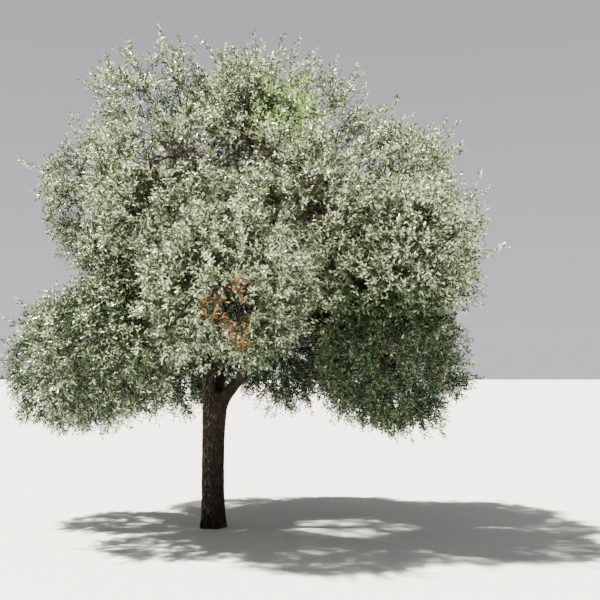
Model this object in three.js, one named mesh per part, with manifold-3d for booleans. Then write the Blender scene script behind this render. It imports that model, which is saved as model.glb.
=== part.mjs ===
// A jodina tree, Jodina rhombifolia: a short stout trunk that forks low, and a wide round crown of small
// stiff rhombic leaves that hangs to about a metre from the ground. Millimetres, +Z up. The origin is the
// middle of the flat cut under the trunk, and -Y is the side that faces the viewer. Azimuths are degrees
// from +X, the viewer's right, towards +Y.
import * as THREE from "three";
import { mergeVertices } from "three/addons/utils/BufferGeometryUtils.js";
import Module from "manifold-3d";

const wasm = await Module();
wasm.setup();
const { Manifold, Mesh: SolidMesh } = wasm;

// Trunk
const GAP = 0.3; // clearance between neighbouring solids
const TRUNK = { radius: 115, lean: 22, sway: 14, top: 1410, crown: 45 };
const FLARE = { height: 130, width: 27, lobes: 5, depth: 0.5 }; // the root flare fades over its height
const FORK_SWELL = { height: 1400, width: 18, fade: 330 }; // the trunk widens again below the fork

// The arms that the trunk ends in, each up to the flat cut where its bough starts.
const ARMS = {
  leader: { from: [-36, -4, 1080], to: [-62, 6, 1585], aim: [-0.05, 0.1, 1], radius: [84, 60] },
  right: { from: [46, -8, 1110], to: [300, -24, 1560], aim: [0.7, -0.1, 0.7], radius: [88, 54] },
  back: { from: [4, 34, 1100], to: [60, 236, 1590], aim: [0.12, 0.6, 0.78], radius: [78, 52] },
};

// Crown: lobes of foliage in tiers. A tier has the number of its lobes, the azimuth of the first and the
// step to the next; the height and the radius of a lobe, and the share of the radius that its core takes;
// the reach to the right, back, left and front; the climb of its boughs' aim above the level; how far its
// lobes are lifted in front and behind; and how many sprigs stand out of each.
const TIERS = [
  {
    name: "top", count: 1, first: 0, step: 0,
    height: 4350, lobe: 790, core: 0.46, reach: [790, 790, 790, 790],
    climb: 1.5, front: 0, back: 0, sprigs: 3,
  },
  {
    name: "upper", count: 4, first: 22, step: 90,
    height: 4180, lobe: 910, core: 0.5, reach: [1800, 1520, 1780, 1500],
    climb: 1.1, front: -170, back: 0, sprigs: 2,
  },
  {
    name: "shoulder", count: 6, first: 0, step: 60,
    height: 3480, lobe: 970, core: 0.52, reach: [2520, 2180, 2360, 2150],
    climb: 0.75, front: -300, back: 0, sprigs: 2,
  },
  {
    name: "waist", count: 6, first: 30, step: 60,
    height: 2750, lobe: 1010, core: 0.52, reach: [3200, 2430, 1950, 2380],
    climb: 0.15, front: -330, back: 0, sprigs: 1,
  },
  {
    name: "skirt", count: 6, first: -25, step: 48.8,
    height: 1750, lobe: 900, core: 0.52, reach: [2830, 2250, 2760, 2050],
    climb: -0.5, front: 200, back: 300, sprigs: 0,
  },
];
const CROWN_SHIFT = 250; // the crown's middle lies this far towards +X from the trunk
const HOLLOW = { centre: [250, 0, 2700], radii: [700, 620, 850] }; // the bare inside, where limbs run

// Each of these boughs grows from a parent at a share of its length. The rest grow from the shoulder bough
// nearest in azimuth, at the share their tier gives.
const PARENTS = {
  top: ["leader"],
  shoulder_right: ["right"],
  shoulder_front_right: ["shoulder_right", 0.1],
  shoulder_back_right: ["back"],
  shoulder_back_left: ["top", 0.13],
  shoulder_left: ["top", 0.21],
  shoulder_front_left: ["top", 0.05],
  upper_right: ["top", 0.62],
  upper_back: ["top", 0.48],
  upper_left: ["top", 0.55],
  upper_front: ["top", 0.4],
};
const FROM_SHOULDER = { waist: 0.5, skirt: 0.24 };
const SHARE_STEP = 0.09; // boughs of one tier on one parent start this share of its length apart
const TWIG_END = 13; // radius of a bough where it enters its lobe
const BOUGH_TAPER = 6.5; // what a bough gains towards its root, for each metre
const ENTRY = 0.62; // a bough ends this share of the lobe's radius short of its centre

// Foliage
const STEM_SIDES = 5;
const TWIGS = 5; // twigs spread over each lobe, of which those towards the open are grown
const TWIG = { radius: 12, tip: 6, sides: 3 };
const TWIG_LEAVES = [0.62, 1]; // where leaves stand on a twig
const SPRIG = { reach: 190, leaves: [0.6, 0.8, 1], leaf: 0.5 }; // a sprig passes its lobe's ball
const LEAF = { length: 460, width: 320, thick: 16, root: 18 }; // each stands for a spray of real leaves
const LEAF_TRIES = 8;
const CORE = { shared: 0.93, sunk: 36 }; // share of the lobe's space that a core takes, and a root's depth
const OPEN = 0.66; // a direction is open where the lobe's space goes on to this share of its radius
const SPACE_MARGIN = 4; // what lies between a lobe's leaves and its neighbour's
const LIMB_MARGIN = 4; // what lies between a leaf and a limb that it doesn't grow on
const GOLDEN_ANGLE = Math.PI * (3 - Math.sqrt(5));

const BARK = { color: 0x3a3129, roughness: 0.95, metalness: 0 };
const FOLIAGE = { color: 0x8a917a, roughness: 0.5, metalness: 0 };

const point = (p) => new THREE.Vector3(...p);
const radians = THREE.MathUtils.degToRad;
const mix = THREE.MathUtils.lerp;

// Seeded numbers from 0 to 1, the same on each run.
function seeded(seed) {
  let state = seed >>> 0;
  return () => {
    state = (state + 0x6d2b79f5) >>> 0;
    let t = state;
    t = Math.imul(t ^ (t >>> 15), t | 1);
    t ^= t + Math.imul(t ^ (t >>> 7), t | 61);
    return ((t ^ (t >>> 14)) >>> 0) / 4294967296;
  };
}

// A closed geometry as a solid that can be joined and cut.
function solidOf(geometry) {
  geometry.deleteAttribute("normal");
  geometry.deleteAttribute("uv");
  const merged = mergeVertices(geometry, 1e-3);
  const vertProperties = merged.attributes.position.array;
  const triVerts = new Uint32Array(merged.index.array);
  return new Manifold(new SolidMesh({ numProp: 3, vertProperties, triVerts }));
}

function geometryOf(solid) {
  const mesh = solid.getMesh();
  return new THREE.BufferGeometry()
    .setAttribute("position", new THREE.BufferAttribute(mesh.vertProperties, 3))
    .setIndex(new THREE.BufferAttribute(mesh.triVerts, 1));
}

// The largest of the pieces that a cut left.
function largest(solid) {
  const pieces = solid.decompose();
  return pieces.reduce((a, b) => (b.volume() > a.volume() ? b : a));
}

// A closed tube: a cylinder whose rings are set along a curve. The radius is a function of the share of
// the way along it and of the angle round it. One side direction, level and square to the chord, keeps the
// rings from twisting.
function tube(path, radiusAt, sides, rings, shareOf = (t) => t) {
  const chord = path.getPoint(1).sub(path.getPoint(0));
  const side = new THREE.Vector3(0, 0, 1).cross(chord);
  if (side.length() < 1e-3 * chord.length()) side.set(1, 0, 0);
  const shape = new THREE.CylinderGeometry(1, 1, 1, sides, rings);
  const places = shape.attributes.position;
  const v = new THREE.Vector3();
  for (let i = 0; i < places.count; i++) {
    v.fromBufferAttribute(places, i);
    const t = shareOf(THREE.MathUtils.clamp(v.y + 0.5, 0, 1));
    const along = path.getTangent(t);
    const across = side.clone().cross(along).normalize();
    const beside = along.clone().cross(across).normalize();
    const radius = radiusAt(t, Math.atan2(v.z, v.x));
    const at = path.getPoint(t).addScaledVector(beside, v.x * radius);
    at.addScaledVector(across, v.z * radius);
    places.setXYZ(i, at.x, at.y, at.z);
  }
  return solidOf(shape);
}

// The trunk's radius at a height and an azimuth: a column that flares to the roots and swells below the
// fork.
function trunkRadius(z, angle) {
  const lobed = 1 + FLARE.depth * Math.cos(FLARE.lobes * angle + 0.6);
  const flare = FLARE.width * Math.exp(-z / FLARE.height) * lobed;
  const swell = FORK_SWELL.width * Math.exp(-(((z - FORK_SWELL.height) / FORK_SWELL.fade) ** 2));
  return TRUNK.radius + flare + swell;
}

const trunkPath = new THREE.CubicBezierCurve3(
  point([0, 0, 0]),
  point([0, 0, TRUNK.top / 3]),
  point([-TRUNK.sway, 0, (2 * TRUNK.top) / 3]),
  point([TRUNK.lean, 0, TRUNK.top]),
);

// The path of an arm of the trunk: it starts straight up inside the trunk and turns to its own aim.
function armPath(arm) {
  const from = point(arm.from);
  const to = point(arm.to);
  const reach = from.distanceTo(to);
  const aim = point(arm.aim).normalize();
  return new THREE.CubicBezierCurve3(
    from,
    from.clone().add(new THREE.Vector3(0, 0, 0.3 * reach)),
    to.clone().addScaledVector(aim, -0.5 * reach),
    to,
  );
}

// The trunk, from the flat cut at the ground to the ends of its arms. Its last stretch closes over in a
// low dome, so the crotch is round, and its rings lie closer at both ends.
function trunkSolid() {
  const narrowing = 1 - (TRUNK.crown / TRUNK.radius) ** 2;
  const dome = (t) => Math.sqrt(1 - Math.max(0, (t - 0.84) / 0.16) ** 2 * narrowing);
  const closer = (t) => t - 0.1 * Math.sin(2 * Math.PI * t);
  const radiusAt = (t, angle) => trunkRadius(t * TRUNK.top, angle) * dome(t);
  const column = tube(trunkPath, radiusAt, 15, 11, closer);
  const arms = Object.values(ARMS).map((arm) => tube(armPath(arm), (t) => mix(...arm.radius, t), 9, 4));
  return Manifold.union([column, ...arms]).simplify(0.5);
}

// How far a tier reaches at an azimuth: a quarter of an ellipse between each two of its four sides.
function reachAt(tier, azimuth) {
  const [right, back, left, front] = tier.reach;
  const c = Math.cos(azimuth);
  const s = Math.sin(azimuth);
  return 1 / Math.hypot(c / (c > 0 ? right : left), s / (s > 0 ? back : front));
}

const meanReach = (tier) => tier.reach.reduce((sum, reach) => sum + reach, 0) / tier.reach.length;

const COMPASS = ["right", "back_right", "back", "back_left", "left", "front_left", "front", "front_right"];
const sideName = (degrees) => COMPASS[Math.round((((degrees % 360) + 360) % 360) / 45) % 8];

// A lobe of foliage: a ball, whose own space ends halfway to each neighbour. The lobes of a tier's near
// side are smaller than those of its far side.
function lobeOf(tier, degrees, seed) {
  const azimuth = radians(degrees);
  const random = seeded(seed * 101 + 7);
  const reach = reachAt(tier, azimuth);
  const radius = tier.lobe * Math.sqrt(reach / meanReach(tier)) * mix(0.96, 1.04, random());
  const c = Math.cos(azimuth);
  const s = Math.sin(azimuth);
  const lift = s * s * (s > 0 ? tier.back : tier.front) + mix(-60, 60, random());
  const out = reach - radius;
  const centre = new THREE.Vector3(CROWN_SHIFT + out * c, out * s, tier.height + lift);
  const alone = tier.count === 1;
  const name = alone ? tier.name : tier.name + "_" + sideName(degrees);
  const aim = alone ? new THREE.Vector3(0.1, 0, 1) : new THREE.Vector3(c, s, tier.climb);
  return { name, tier, degrees, radius, aim: aim.normalize(), centre, seed };
}

function lobesOf() {
  const lobes = [];
  for (const tier of TIERS) {
    for (let k = 0; k < tier.count; k++) {
      lobes.push(lobeOf(tier, tier.first + k * tier.step, lobes.length));
    }
  }
  return lobes;
}

const degreesApart = (a, b) => Math.abs(((((a - b) % 360) + 540) % 360) - 180);

// The place of a bough on the shoulder bough nearest to it.
function onShoulder(lobe, shoulders, taken) {
  const apart = (shoulder) => degreesApart(shoulder.degrees, lobe.degrees);
  const near = shoulders.reduce((a, b) => (apart(b) < apart(a) ? b : a));
  const place = near.name + lobe.tier.name;
  taken[place] = (taken[place] ?? 0) + 1;
  return [near.name, FROM_SHOULDER[lobe.tier.name] + SHARE_STEP * (taken[place] - 1)];
}

// The way of a bough: a curve that leaves its parent's way and turns to its lobe's aim.
function boughPath({ lobe, parent, arm, share }) {
  const end = lobe.centre.clone().addScaledVector(lobe.aim, -ENTRY * lobe.radius);
  const from = arm ? point(arm.to) : parent.path.getPoint(share);
  const leave = arm ? point(arm.aim).normalize() : parent.path.getTangent(share);
  const reach = from.distanceTo(end);
  if (arm) {
    from.addScaledVector(leave, GAP);
  } else {
    const straight = end.clone().sub(from).normalize();
    leave.multiplyScalar(0.55).addScaledVector(straight, 0.8).normalize();
  }
  return new THREE.CubicBezierCurve3(
    from,
    from.clone().addScaledVector(leave, 0.34 * reach),
    end.clone().addScaledVector(lobe.aim, -0.34 * reach),
    end,
  );
}

// A limb is as thick as what it carries: its section is the sum of the sections that leave it.
function thicken(ordered) {
  for (const bough of [...ordered].reverse()) {
    const carried = ordered.filter((other) => other.parent === bough);
    const section = carried.reduce((sum, other) => sum + other.root ** 2, TWIG_END ** 2);
    const grown = Math.sqrt(section) + (BOUGH_TAPER * bough.length) / 1000;
    bough.root = bough.arm ? bough.arm.radius[1] : grown;
  }
  for (const bough of ordered) {
    if (!bough.parent) continue;
    bough.root = Math.min(bough.root, 0.82 * boughRadius(bough.parent, bough.share));
  }
}

// The boughs, one to each lobe. A parent comes before the boughs that grow on it.
function boughsOf(lobes) {
  const shoulders = lobes.filter((lobe) => lobe.tier.name === "shoulder");
  const taken = {};
  const boughs = new Map();
  for (const lobe of lobes) {
    const [parentName, share] = PARENTS[lobe.name] ?? onShoulder(lobe, shoulders, taken);
    boughs.set(lobe.name, { name: lobe.name, lobe, parentName, share });
  }
  const ordered = [];
  const place = (bough) => {
    if (ordered.includes(bough)) return;
    bough.parent = boughs.get(bough.parentName);
    bough.arm = ARMS[bough.parentName];
    if (bough.parent) place(bough.parent);
    bough.path = boughPath(bough);
    bough.length = bough.path.getPoint(0).distanceTo(bough.path.getPoint(1));
    ordered.push(bough);
  };
  boughs.forEach(place);
  thicken(ordered);
  return ordered;
}

function boughRadius(bough, t) {
  return mix(bough.root, TWIG_END, t ** 0.85);
}

// A bough as a solid. extra is added to its radius where it is used to clear its neighbours.
function boughTube(bough, extra = 0) {
  const collar = (t) => (bough.arm ? 0 : 0.22 * bough.root * Math.exp(-t * 14));
  const sides = bough.root > 30 ? 7 : 5;
  const slack = extra / Math.cos(Math.PI / sides);
  const radiusAt = (t) => boughRadius(bough, t) + collar(t) + slack;
  return tube(bough.path, radiusAt, sides, Math.round(bough.length / 420) + 1);
}

const lobes = lobesOf();
const boughs = boughsOf(lobes);
const trunk = trunkSolid();

// Each bough is cut by what it grows on and by the boughs before it, with the clearance between them.
function boughSolids() {
  const solids = new Map();
  boughs.forEach((bough, k) => {
    const before = boughs.slice(0, k).map((other) => boughTube(other, GAP));
    solids.set(bough.name, largest(boughTube(bough).subtract(Manifold.union([trunk, ...before]))));
  });
  return solids;
}

const limbs = Manifold.union([trunk, ...boughs.map((bough) => boughTube(bough, LIMB_MARGIN))]);
const touchesLimb = (solid) => !solid.intersect(limbs).isEmpty();

// Whether a point is in a lobe's own space: in its ball, out of the bare inside and on its side of each
// neighbour.
function inSpace(lobe, p, spare = 0) {
  if (p.distanceTo(lobe.centre) > lobe.radius + spare) return false;
  const hollow = p.clone().sub(point(HOLLOW.centre)).divide(point(HOLLOW.radii));
  return hollow.length() >= 1 && inCell(lobe, p);
}

function inCell(lobe, p) {
  return lobes.every((other) => {
    if (other === lobe) return true;
    const across = other.centre.clone().sub(lobe.centre);
    const half = across.length() / 2;
    return p.clone().sub(lobe.centre).dot(across.normalize()) < half - SPACE_MARGIN;
  });
}

// How far a lobe's space goes from its centre in a direction.
function reachIn(lobe, direction) {
  const step = 20;
  const isIn = (reach) => inSpace(lobe, lobe.centre.clone().addScaledVector(direction, reach));
  let reach = 0;
  while (reach < lobe.radius && isIn(reach + step)) {
    reach += step;
  }
  return reach;
}

const isOpen = (lobe, direction) => reachIn(lobe, direction) > OPEN * lobe.radius;

// Directions spread evenly over a ball.
function waysRound(count, turn) {
  return Array.from({ length: count }, (_, k) => {
    const z = 1 - (2 * k + 1) / count;
    const around = k * GOLDEN_ANGLE + turn;
    const wide = Math.sqrt(1 - z * z);
    return new THREE.Vector3(wide * Math.cos(around), wide * Math.sin(around), z);
  });
}

// A direction square to another, turned round it.
function sideways(direction, turn) {
  const level = new THREE.Vector3(-direction.y, direction.x, 0);
  if (level.length() < 0.05) level.set(1, 0, 0);
  return level.normalize().applyAxisAngle(direction, turn);
}

// A leaf: a rhombus creased along its middle, as the closed solid between its four corners. Its root is
// sunk in what it grows on, and face is the way that its upper side looks.
function leafShape(root, direction, face, size) {
  const across = direction.clone().cross(face).normalize();
  const frame = new THREE.Matrix4().makeBasis(direction, across, direction.clone().cross(across));
  const length = LEAF.length * size;
  const width = LEAF.width * size;
  const corners = [
    [-LEAF.root, 0, 0],
    [length - LEAF.root, 0, 0],
    [0.45 * length, width / 2, LEAF.thick],
    [0.45 * length, -width / 2, LEAF.thick],
  ];
  const shape = new THREE.BufferGeometry();
  shape.setAttribute("position", new THREE.Float32BufferAttribute(corners.flat(), 3));
  shape.setIndex([0, 2, 1, 0, 1, 3, 0, 3, 2, 1, 2, 3]);
  shape.applyMatrix4(frame);
  shape.translate(root.x, root.y, root.z);
  return shape;
}

function cornersInside(shape, lobe, spare) {
  const places = shape.attributes.position;
  const corner = new THREE.Vector3();
  for (let i = 0; i < places.count; i++) {
    if (!inSpace(lobe, corner.fromBufferAttribute(places, i), spare)) return false;
  }
  return true;
}

function touch(a, b) {
  const p = a.boundingBox();
  const q = b.boundingBox();
  const apart = [0, 1, 2].some((k) => p.min[k] > q.max[k] || q.min[k] > p.max[k]);
  return !apart && !a.intersect(b).isEmpty();
}

// Adds a leaf that leans from a way by an angle, turned round it until it fits its space and clears the
// limbs and the other leaves. It gets smaller with each try, and is left out where none fits.
function growLeaf(leaves, lobe, root, way, lean, size, spare, random) {
  const turn = random() * 2 * Math.PI;
  const tilt = mix(-0.4, 0.4, random());
  for (let k = 0; k < LEAF_TRIES; k++) {
    const side = sideways(way, turn + k * GOLDEN_ANGLE);
    const direction = way.clone().multiplyScalar(Math.cos(lean)).addScaledVector(side, Math.sin(lean));
    const face = way.clone().addScaledVector(side.cross(way), tilt);
    const shape = leafShape(root, direction, face, size * 0.96 ** k);
    if (!cornersInside(shape, lobe, spare)) continue;
    const leaf = solidOf(shape);
    if (touchesLimb(leaf) || leaves.some((other) => touch(other, leaf))) continue;
    leaves.push(leaf);
    return;
  }
}

// A twig that leaves the stem towards a way, with leaves along it and one that goes on from its tip. A
// spare reach makes it a sprig, with smaller leaves.
function growTwig(twigs, leaves, lobe, start, way, spare, random) {
  const leaf = spare ? SPRIG.leaf : 1;
  const reach = lobe.radius + spare - 0.75 * LEAF.length * leaf;
  const end = lobe.centre.clone().addScaledVector(way, reach);
  const knee = start.clone().lerp(end, 0.45).addScaledVector(lobe.aim, 0.12 * lobe.radius);
  const path = new THREE.QuadraticBezierCurve3(start, knee, end);
  const twig = tube(path, (t) => mix(TWIG.radius, TWIG.tip, t), TWIG.sides, 2);
  const inside = [0.5, 0.75, 1].every((t) => inSpace(lobe, path.getPoint(t), spare));
  if (!inside || touchesLimb(twig)) return;
  const bare = leaves.length;
  for (const t of spare ? SPRIG.leaves : TWIG_LEAVES) {
    const along = path.getTangent(t).normalize();
    const size = leaf * mix(0.85, 1.1, random());
    const lean = t === 1 ? 0.15 : 0.9;
    growLeaf(leaves, lobe, path.getPoint(t), along, lean, size, spare + 40, random);
  }
  if (leaves.length > bare) twigs.push(twig);
}

// A small core, shaped like its lobe's space, and the middle of each of its faces.
function coreOf(lobe, random) {
  const shape = new THREE.OctahedronGeometry(1, 1).rotateZ(random() * 2 * Math.PI);
  shape.deleteAttribute("normal");
  shape.deleteAttribute("uv");
  const core = mergeVertices(shape, 1e-3);
  const places = core.attributes.position;
  const corners = Array.from({ length: places.count }, (_, i) => {
    const way = new THREE.Vector3().fromBufferAttribute(places, i).normalize();
    const reach = Math.min(CORE.shared * reachIn(lobe, way), lobe.tier.core * lobe.radius);
    return way.multiplyScalar(reach * mix(0.9, 1.05, random())).add(lobe.centre);
  });
  corners.forEach((corner, i) => places.setXYZ(i, corner.x, corner.y, corner.z));
  const middles = [];
  for (let i = 0; i < core.index.count; i += 3) {
    const [a, b, c] = [0, 1, 2].map((k) => corners[core.index.getX(i + k)]);
    middles.push(a.clone().add(b).add(c).divideScalar(3));
  }
  return { solid: solidOf(core).subtract(limbs), middles };
}

// The sprigs and twigs that fan out of a stem.
function growTwigs(twigs, leaves, lobe, stem, random) {
  for (let k = 0; k < lobe.tier.sprigs; k++) {
    const stray = new THREE.Vector3(random() - 0.5, random() - 0.5, 0.5).multiplyScalar(1.5);
    const way = lobe.aim.clone().add(stray).normalize();
    const spare = SPRIG.reach * mix(0.4, 1, random());
    growTwig(twigs, leaves, lobe, stem.getPoint(0.9), way, spare, random);
  }
  const ways = waysRound(TWIGS, random() * 2 * Math.PI).filter((way) => isOpen(lobe, way));
  for (const way of ways) {
    growTwig(twigs, leaves, lobe, stem.getPoint(mix(0.5, 1, random())), way, 0, random);
  }
}

// The leaves that stand out of a core, one from each face that looks towards the open.
function growOnCore(leaves, lobe, middles, random) {
  for (const middle of middles) {
    const way = middle.clone().sub(lobe.centre).normalize();
    if (!isOpen(lobe, way)) continue;
    const root = middle.addScaledVector(way, -CORE.sunk);
    growLeaf(leaves, lobe, root, way, mix(0.6, 1.15, random()), mix(0.95, 1.15, random()), 0, random);
  }
}

// One lobe of foliage: a stem that goes on from its bough, twigs, a small core, and leaves.
function foliageSolid({ lobe, path }) {
  const random = seeded(lobe.seed * 977 + 31);
  const foot = path.getPoint(1).addScaledVector(lobe.aim, GAP);
  const head = lobe.centre.clone().addScaledVector(lobe.aim, 0.1 * lobe.radius);
  const stem = new THREE.LineCurve3(foot, head);
  const twigs = [tube(stem, (t) => mix(TWIG_END, 0.75 * TWIG_END, t), STEM_SIDES, 1)];
  const leaves = [];
  const core = coreOf(lobe, random);
  growTwigs(twigs, leaves, lobe, stem, random);
  growOnCore(leaves, lobe, core.middles, random);
  return largest(Manifold.union([core.solid, ...twigs, ...leaves]).simplify(1));
}

const tree = new THREE.Group();

function addMesh(name, solid, finish) {
  const mesh = new THREE.Mesh(geometryOf(solid), new THREE.MeshStandardMaterial(finish));
  mesh.name = name;
  tree.add(mesh);
}

addMesh("trunk", trunk, BARK);
boughSolids().forEach((solid, name) => addMesh("bough_" + name, solid, BARK));
boughs.forEach((bough) => addMesh("foliage_" + bough.name, foliageSolid(bough), FOLIAGE));

export default tree;
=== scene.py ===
# %% [markdown]
# # A jodina tree
# The jodina is a small evergreen tree of dry country. One stout dark trunk forks low, and a wide round
# crown of stiff rhombic leaves, silvery where the light catches them, hangs to about a metre from the
# ground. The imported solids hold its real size: a trunk, a bough to each lobe of the crown, and a faceted
# mass in each lobe. This lesson keeps that layout and replaces every solid. The limbs become one skin of
# fissured bark, and each lobe fills with twigs and small leaves that grow by the same rule as the solids.

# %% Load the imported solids
import math

import bmesh
import bpy
import numpy as np
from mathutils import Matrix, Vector


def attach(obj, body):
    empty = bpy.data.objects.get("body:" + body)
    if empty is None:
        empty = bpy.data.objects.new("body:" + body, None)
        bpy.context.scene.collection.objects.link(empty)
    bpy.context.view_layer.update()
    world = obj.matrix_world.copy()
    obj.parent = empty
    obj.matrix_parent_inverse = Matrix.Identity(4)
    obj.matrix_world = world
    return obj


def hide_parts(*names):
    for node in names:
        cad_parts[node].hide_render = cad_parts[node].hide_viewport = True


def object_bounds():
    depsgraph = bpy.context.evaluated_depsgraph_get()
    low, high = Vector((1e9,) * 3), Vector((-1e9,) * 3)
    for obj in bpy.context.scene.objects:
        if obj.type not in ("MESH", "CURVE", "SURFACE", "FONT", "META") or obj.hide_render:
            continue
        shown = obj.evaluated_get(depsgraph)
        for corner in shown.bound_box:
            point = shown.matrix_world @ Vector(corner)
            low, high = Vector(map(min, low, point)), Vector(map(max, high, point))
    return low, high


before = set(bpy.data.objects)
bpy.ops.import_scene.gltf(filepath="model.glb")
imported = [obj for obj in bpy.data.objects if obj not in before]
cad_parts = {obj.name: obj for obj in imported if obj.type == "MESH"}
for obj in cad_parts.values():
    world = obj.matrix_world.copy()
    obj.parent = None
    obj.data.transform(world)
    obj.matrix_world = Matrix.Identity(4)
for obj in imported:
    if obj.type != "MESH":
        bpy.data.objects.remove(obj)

cad_box = [list(corner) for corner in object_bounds()]
print("solids:", len(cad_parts), "and their box in metres:", np.round(cad_box, 3).tolist())

# %% [markdown]
# ## The camera
# It stands nine metres off, 1.6 m high, and looks slightly up. It could come last, but every later look at
# the tree is through it. Its tilt follows from the line of eye level and the trunk's upright sides, its
# distance from where the trunk's foot then lies, and its lens from the angle that the crown fills.

# %% Place the camera
PLACE = (0.91, -9.3, 1.6)
TILT_UP = 4.76
PIXELS_PER_RADIAN = 876
IMAGE_WIDTH = 600

camera = bpy.data.objects.new("camera", bpy.data.cameras.new("camera"))
camera.data.sensor_width = 36
camera.data.lens = PIXELS_PER_RADIAN * camera.data.sensor_width / IMAGE_WIDTH
camera.data.clip_end = 500
camera.location = PLACE
camera.rotation_euler = (math.radians(90 + TILT_UP), 0, 0)
bpy.context.scene.collection.objects.link(camera)
bpy.context.scene.camera = camera
print("lens in mm:", round(camera.data.lens, 2))

# %% [markdown]
# ## The layout of the crown
# A crown can be scattered with leaves at random, but then it looks like a cloud. A real one is a set of
# leafy lobes, each fed by its own bough, that grow until they meet. So the layout has one table of
# tiers, in millimetres as the solids have it, and every limb, twig and leaf is worked out from it.

# %% The crown's tiers, in millimetres
MM = 0.001
# name, count, first azimuth, step, height, lobe radius, reach right, back, left and front, climb of the
# boughs, lift in front, lift behind, and sprigs that stand out
TIERS = [
    ("top", 1, 0, 0, 4350, 790, (790, 790, 790, 790), 1.5, 0, 0, 3),
    ("upper", 4, 22, 90, 4180, 910, (1800, 1520, 1780, 1500), 1.1, -170, 0, 2),
    ("shoulder", 6, 0, 60, 3480, 970, (2520, 2180, 2360, 2150), 0.75, -300, 0, 2),
    ("waist", 6, 30, 60, 2750, 1010, (3200, 2430, 1950, 2380), 0.15, -330, 0, 1),
    ("skirt", 6, -25, 48.8, 1750, 900, (2830, 2250, 2760, 2050), -0.5, 200, 300, 0),
]
CROWN_SHIFT = 250
print("lobes:", sum(tier[1] for tier in TIERS))

# %% [markdown]
# No two lobes of a real crown are alike, so each one's size and height vary by chance. Any random numbers
# would do, but the solids were varied before this lesson starts. So this small generator is the one that
# they were made with, and the lobes come out where the solids are.

# %% Seeded numbers
def seeded(seed):
    """Numbers from 0 to 1, the same on each run: a 32-bit counter whose bits are mixed by products."""
    state = seed & 0xFFFFFFFF

    def draw():
        nonlocal state
        state = (state + 0x6D2B79F5) & 0xFFFFFFFF
        t = ((state ^ (state >> 15)) * (state | 1)) & 0xFFFFFFFF
        t ^= (t + (((t ^ (t >> 7)) * (t | 61)) & 0xFFFFFFFF)) & 0xFFFFFFFF
        return (t ^ (t >> 14)) / 4294967296

    return draw


print("the first number drawn from seed 7:", round(seeded(7)(), 4))

# %% [markdown]
# ## Lobes and their own space
# Each lobe is a ball. Balls alone would be simplest, but their twigs would run into one another. So where
# two balls meet the crown is split halfway, as neighbouring boughs share the light. A bare hollow in the
# middle stays free for the limbs, because a tree drops the leaves that it shades.

# %% Work out the lobes
COMPASS = ["right", "back_right", "back", "back_left", "left", "front_left", "front", "front_right"]
RADIUS_VARIES = (0.96, 1.04)
HEIGHT_VARIES = (-60, 60)


def mix(a, b, t):
    """The value a share t of the way from a to b."""
    return a + (b - a) * t


def unit(vectors):
    """Vectors of length 1, each divided by its own length."""
    vectors = np.asarray(vectors, float)
    return vectors / np.maximum(np.linalg.norm(vectors, axis=-1, keepdims=True), 1e-12)


def lobe_of(tier, degrees, seed):
    """One lobe. Its reach is an ellipse's, 1 / hypot(cos / side, sin / side), with a quarter of its own
    between each two sides, and its radius grows with the square root of that reach."""
    name, count, _, _, height, lobe, sides, climb, front, back, sprigs = tier
    draw = seeded(seed * 101 + 7)
    c, s = math.cos(math.radians(degrees)), math.sin(math.radians(degrees))
    reach = 1 / math.hypot(c / sides[0 if c > 0 else 2], s / sides[1 if s > 0 else 3])
    radius = lobe * math.sqrt(reach / (sum(sides) / 4)) * mix(*RADIUS_VARIES, draw())
    lift = s * s * (back if s > 0 else front) + mix(*HEIGHT_VARIES, draw())
    alone = count == 1
    side = COMPASS[math.floor((degrees % 360) / 45 + 0.5) % 8]
    out = reach - radius
    return {
        "name": name if alone else f"{name}_{side}",
        "tier": name,
        "degrees": degrees,
        "radius": radius * MM,
        "centre": np.array([CROWN_SHIFT + out * c, out * s, height + lift]) * MM,
        "aim": unit((0.1, 0, 1) if alone else (c, s, climb)),
        "sprigs": sprigs,
    }


lobes = []
for tier in TIERS:
    for k in range(tier[1]):
        lobes.append(lobe_of(tier, tier[2] + k * tier[3], len(lobes)))
centres = np.array([lobe["centre"] for lobe in lobes])
radii = np.array([lobe["radius"] for lobe in lobes])
aims = np.array([lobe["aim"] for lobe in lobes])
print("lobe radii in metres:", radii.round(2).tolist())

# %% [markdown]
# ## Noise
# Bark, the wander of a twig and the edge of a lobe need numbers that look chanced but run on smoothly from
# place to place. Blender's textures give that to a material; for the shape itself the same thing is a few
# lines: each whole-numbered point of space gets its own chance number, and the points between are blended.

# %% Smooth chance numbers
def hashed(cells, seed):
    """A number from 0 to 1 for each whole-numbered cell, from its three numbers mixed by products and
    shifts in 32 bits."""
    x, y, z = (cells[..., k].astype(np.int64).astype(np.uint32) for k in range(3))
    h = x * np.uint32(0x8DA6B343) ^ y * np.uint32(0xD8163841) ^ z * np.uint32(0xCB1AB31F)
    h = h ^ np.uint32((seed * 0x9E3779B1) & 0xFFFFFFFF)
    h = (h ^ (h >> np.uint32(15))) * np.uint32(0x2C1B3C6D)
    h = (h ^ (h >> np.uint32(12))) * np.uint32(0x297A2D39)
    return (h ^ (h >> np.uint32(15))) / 4294967296


def noise(points, seed=0):
    """Value noise from -1 to 1: the numbers of the eight cells round a point, each weighted by
    t * t * (3 - 2 * t) along the three axes."""
    low = np.floor(points)
    t = points - low
    t = t * t * (3 - 2 * t)
    total = 0.0
    for corner in np.ndindex(2, 2, 2):
        weight = np.prod(np.where(np.array(corner) == 1, t, 1 - t), axis=-1)
        total = total + weight * hashed(low + np.array(corner), seed)
    return 2 * total - 1


print("noise at a few points:", noise(np.array([[0.3, 0.2, 0.1], [5.5, 1.2, 7.9]])).round(3).tolist())

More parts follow.
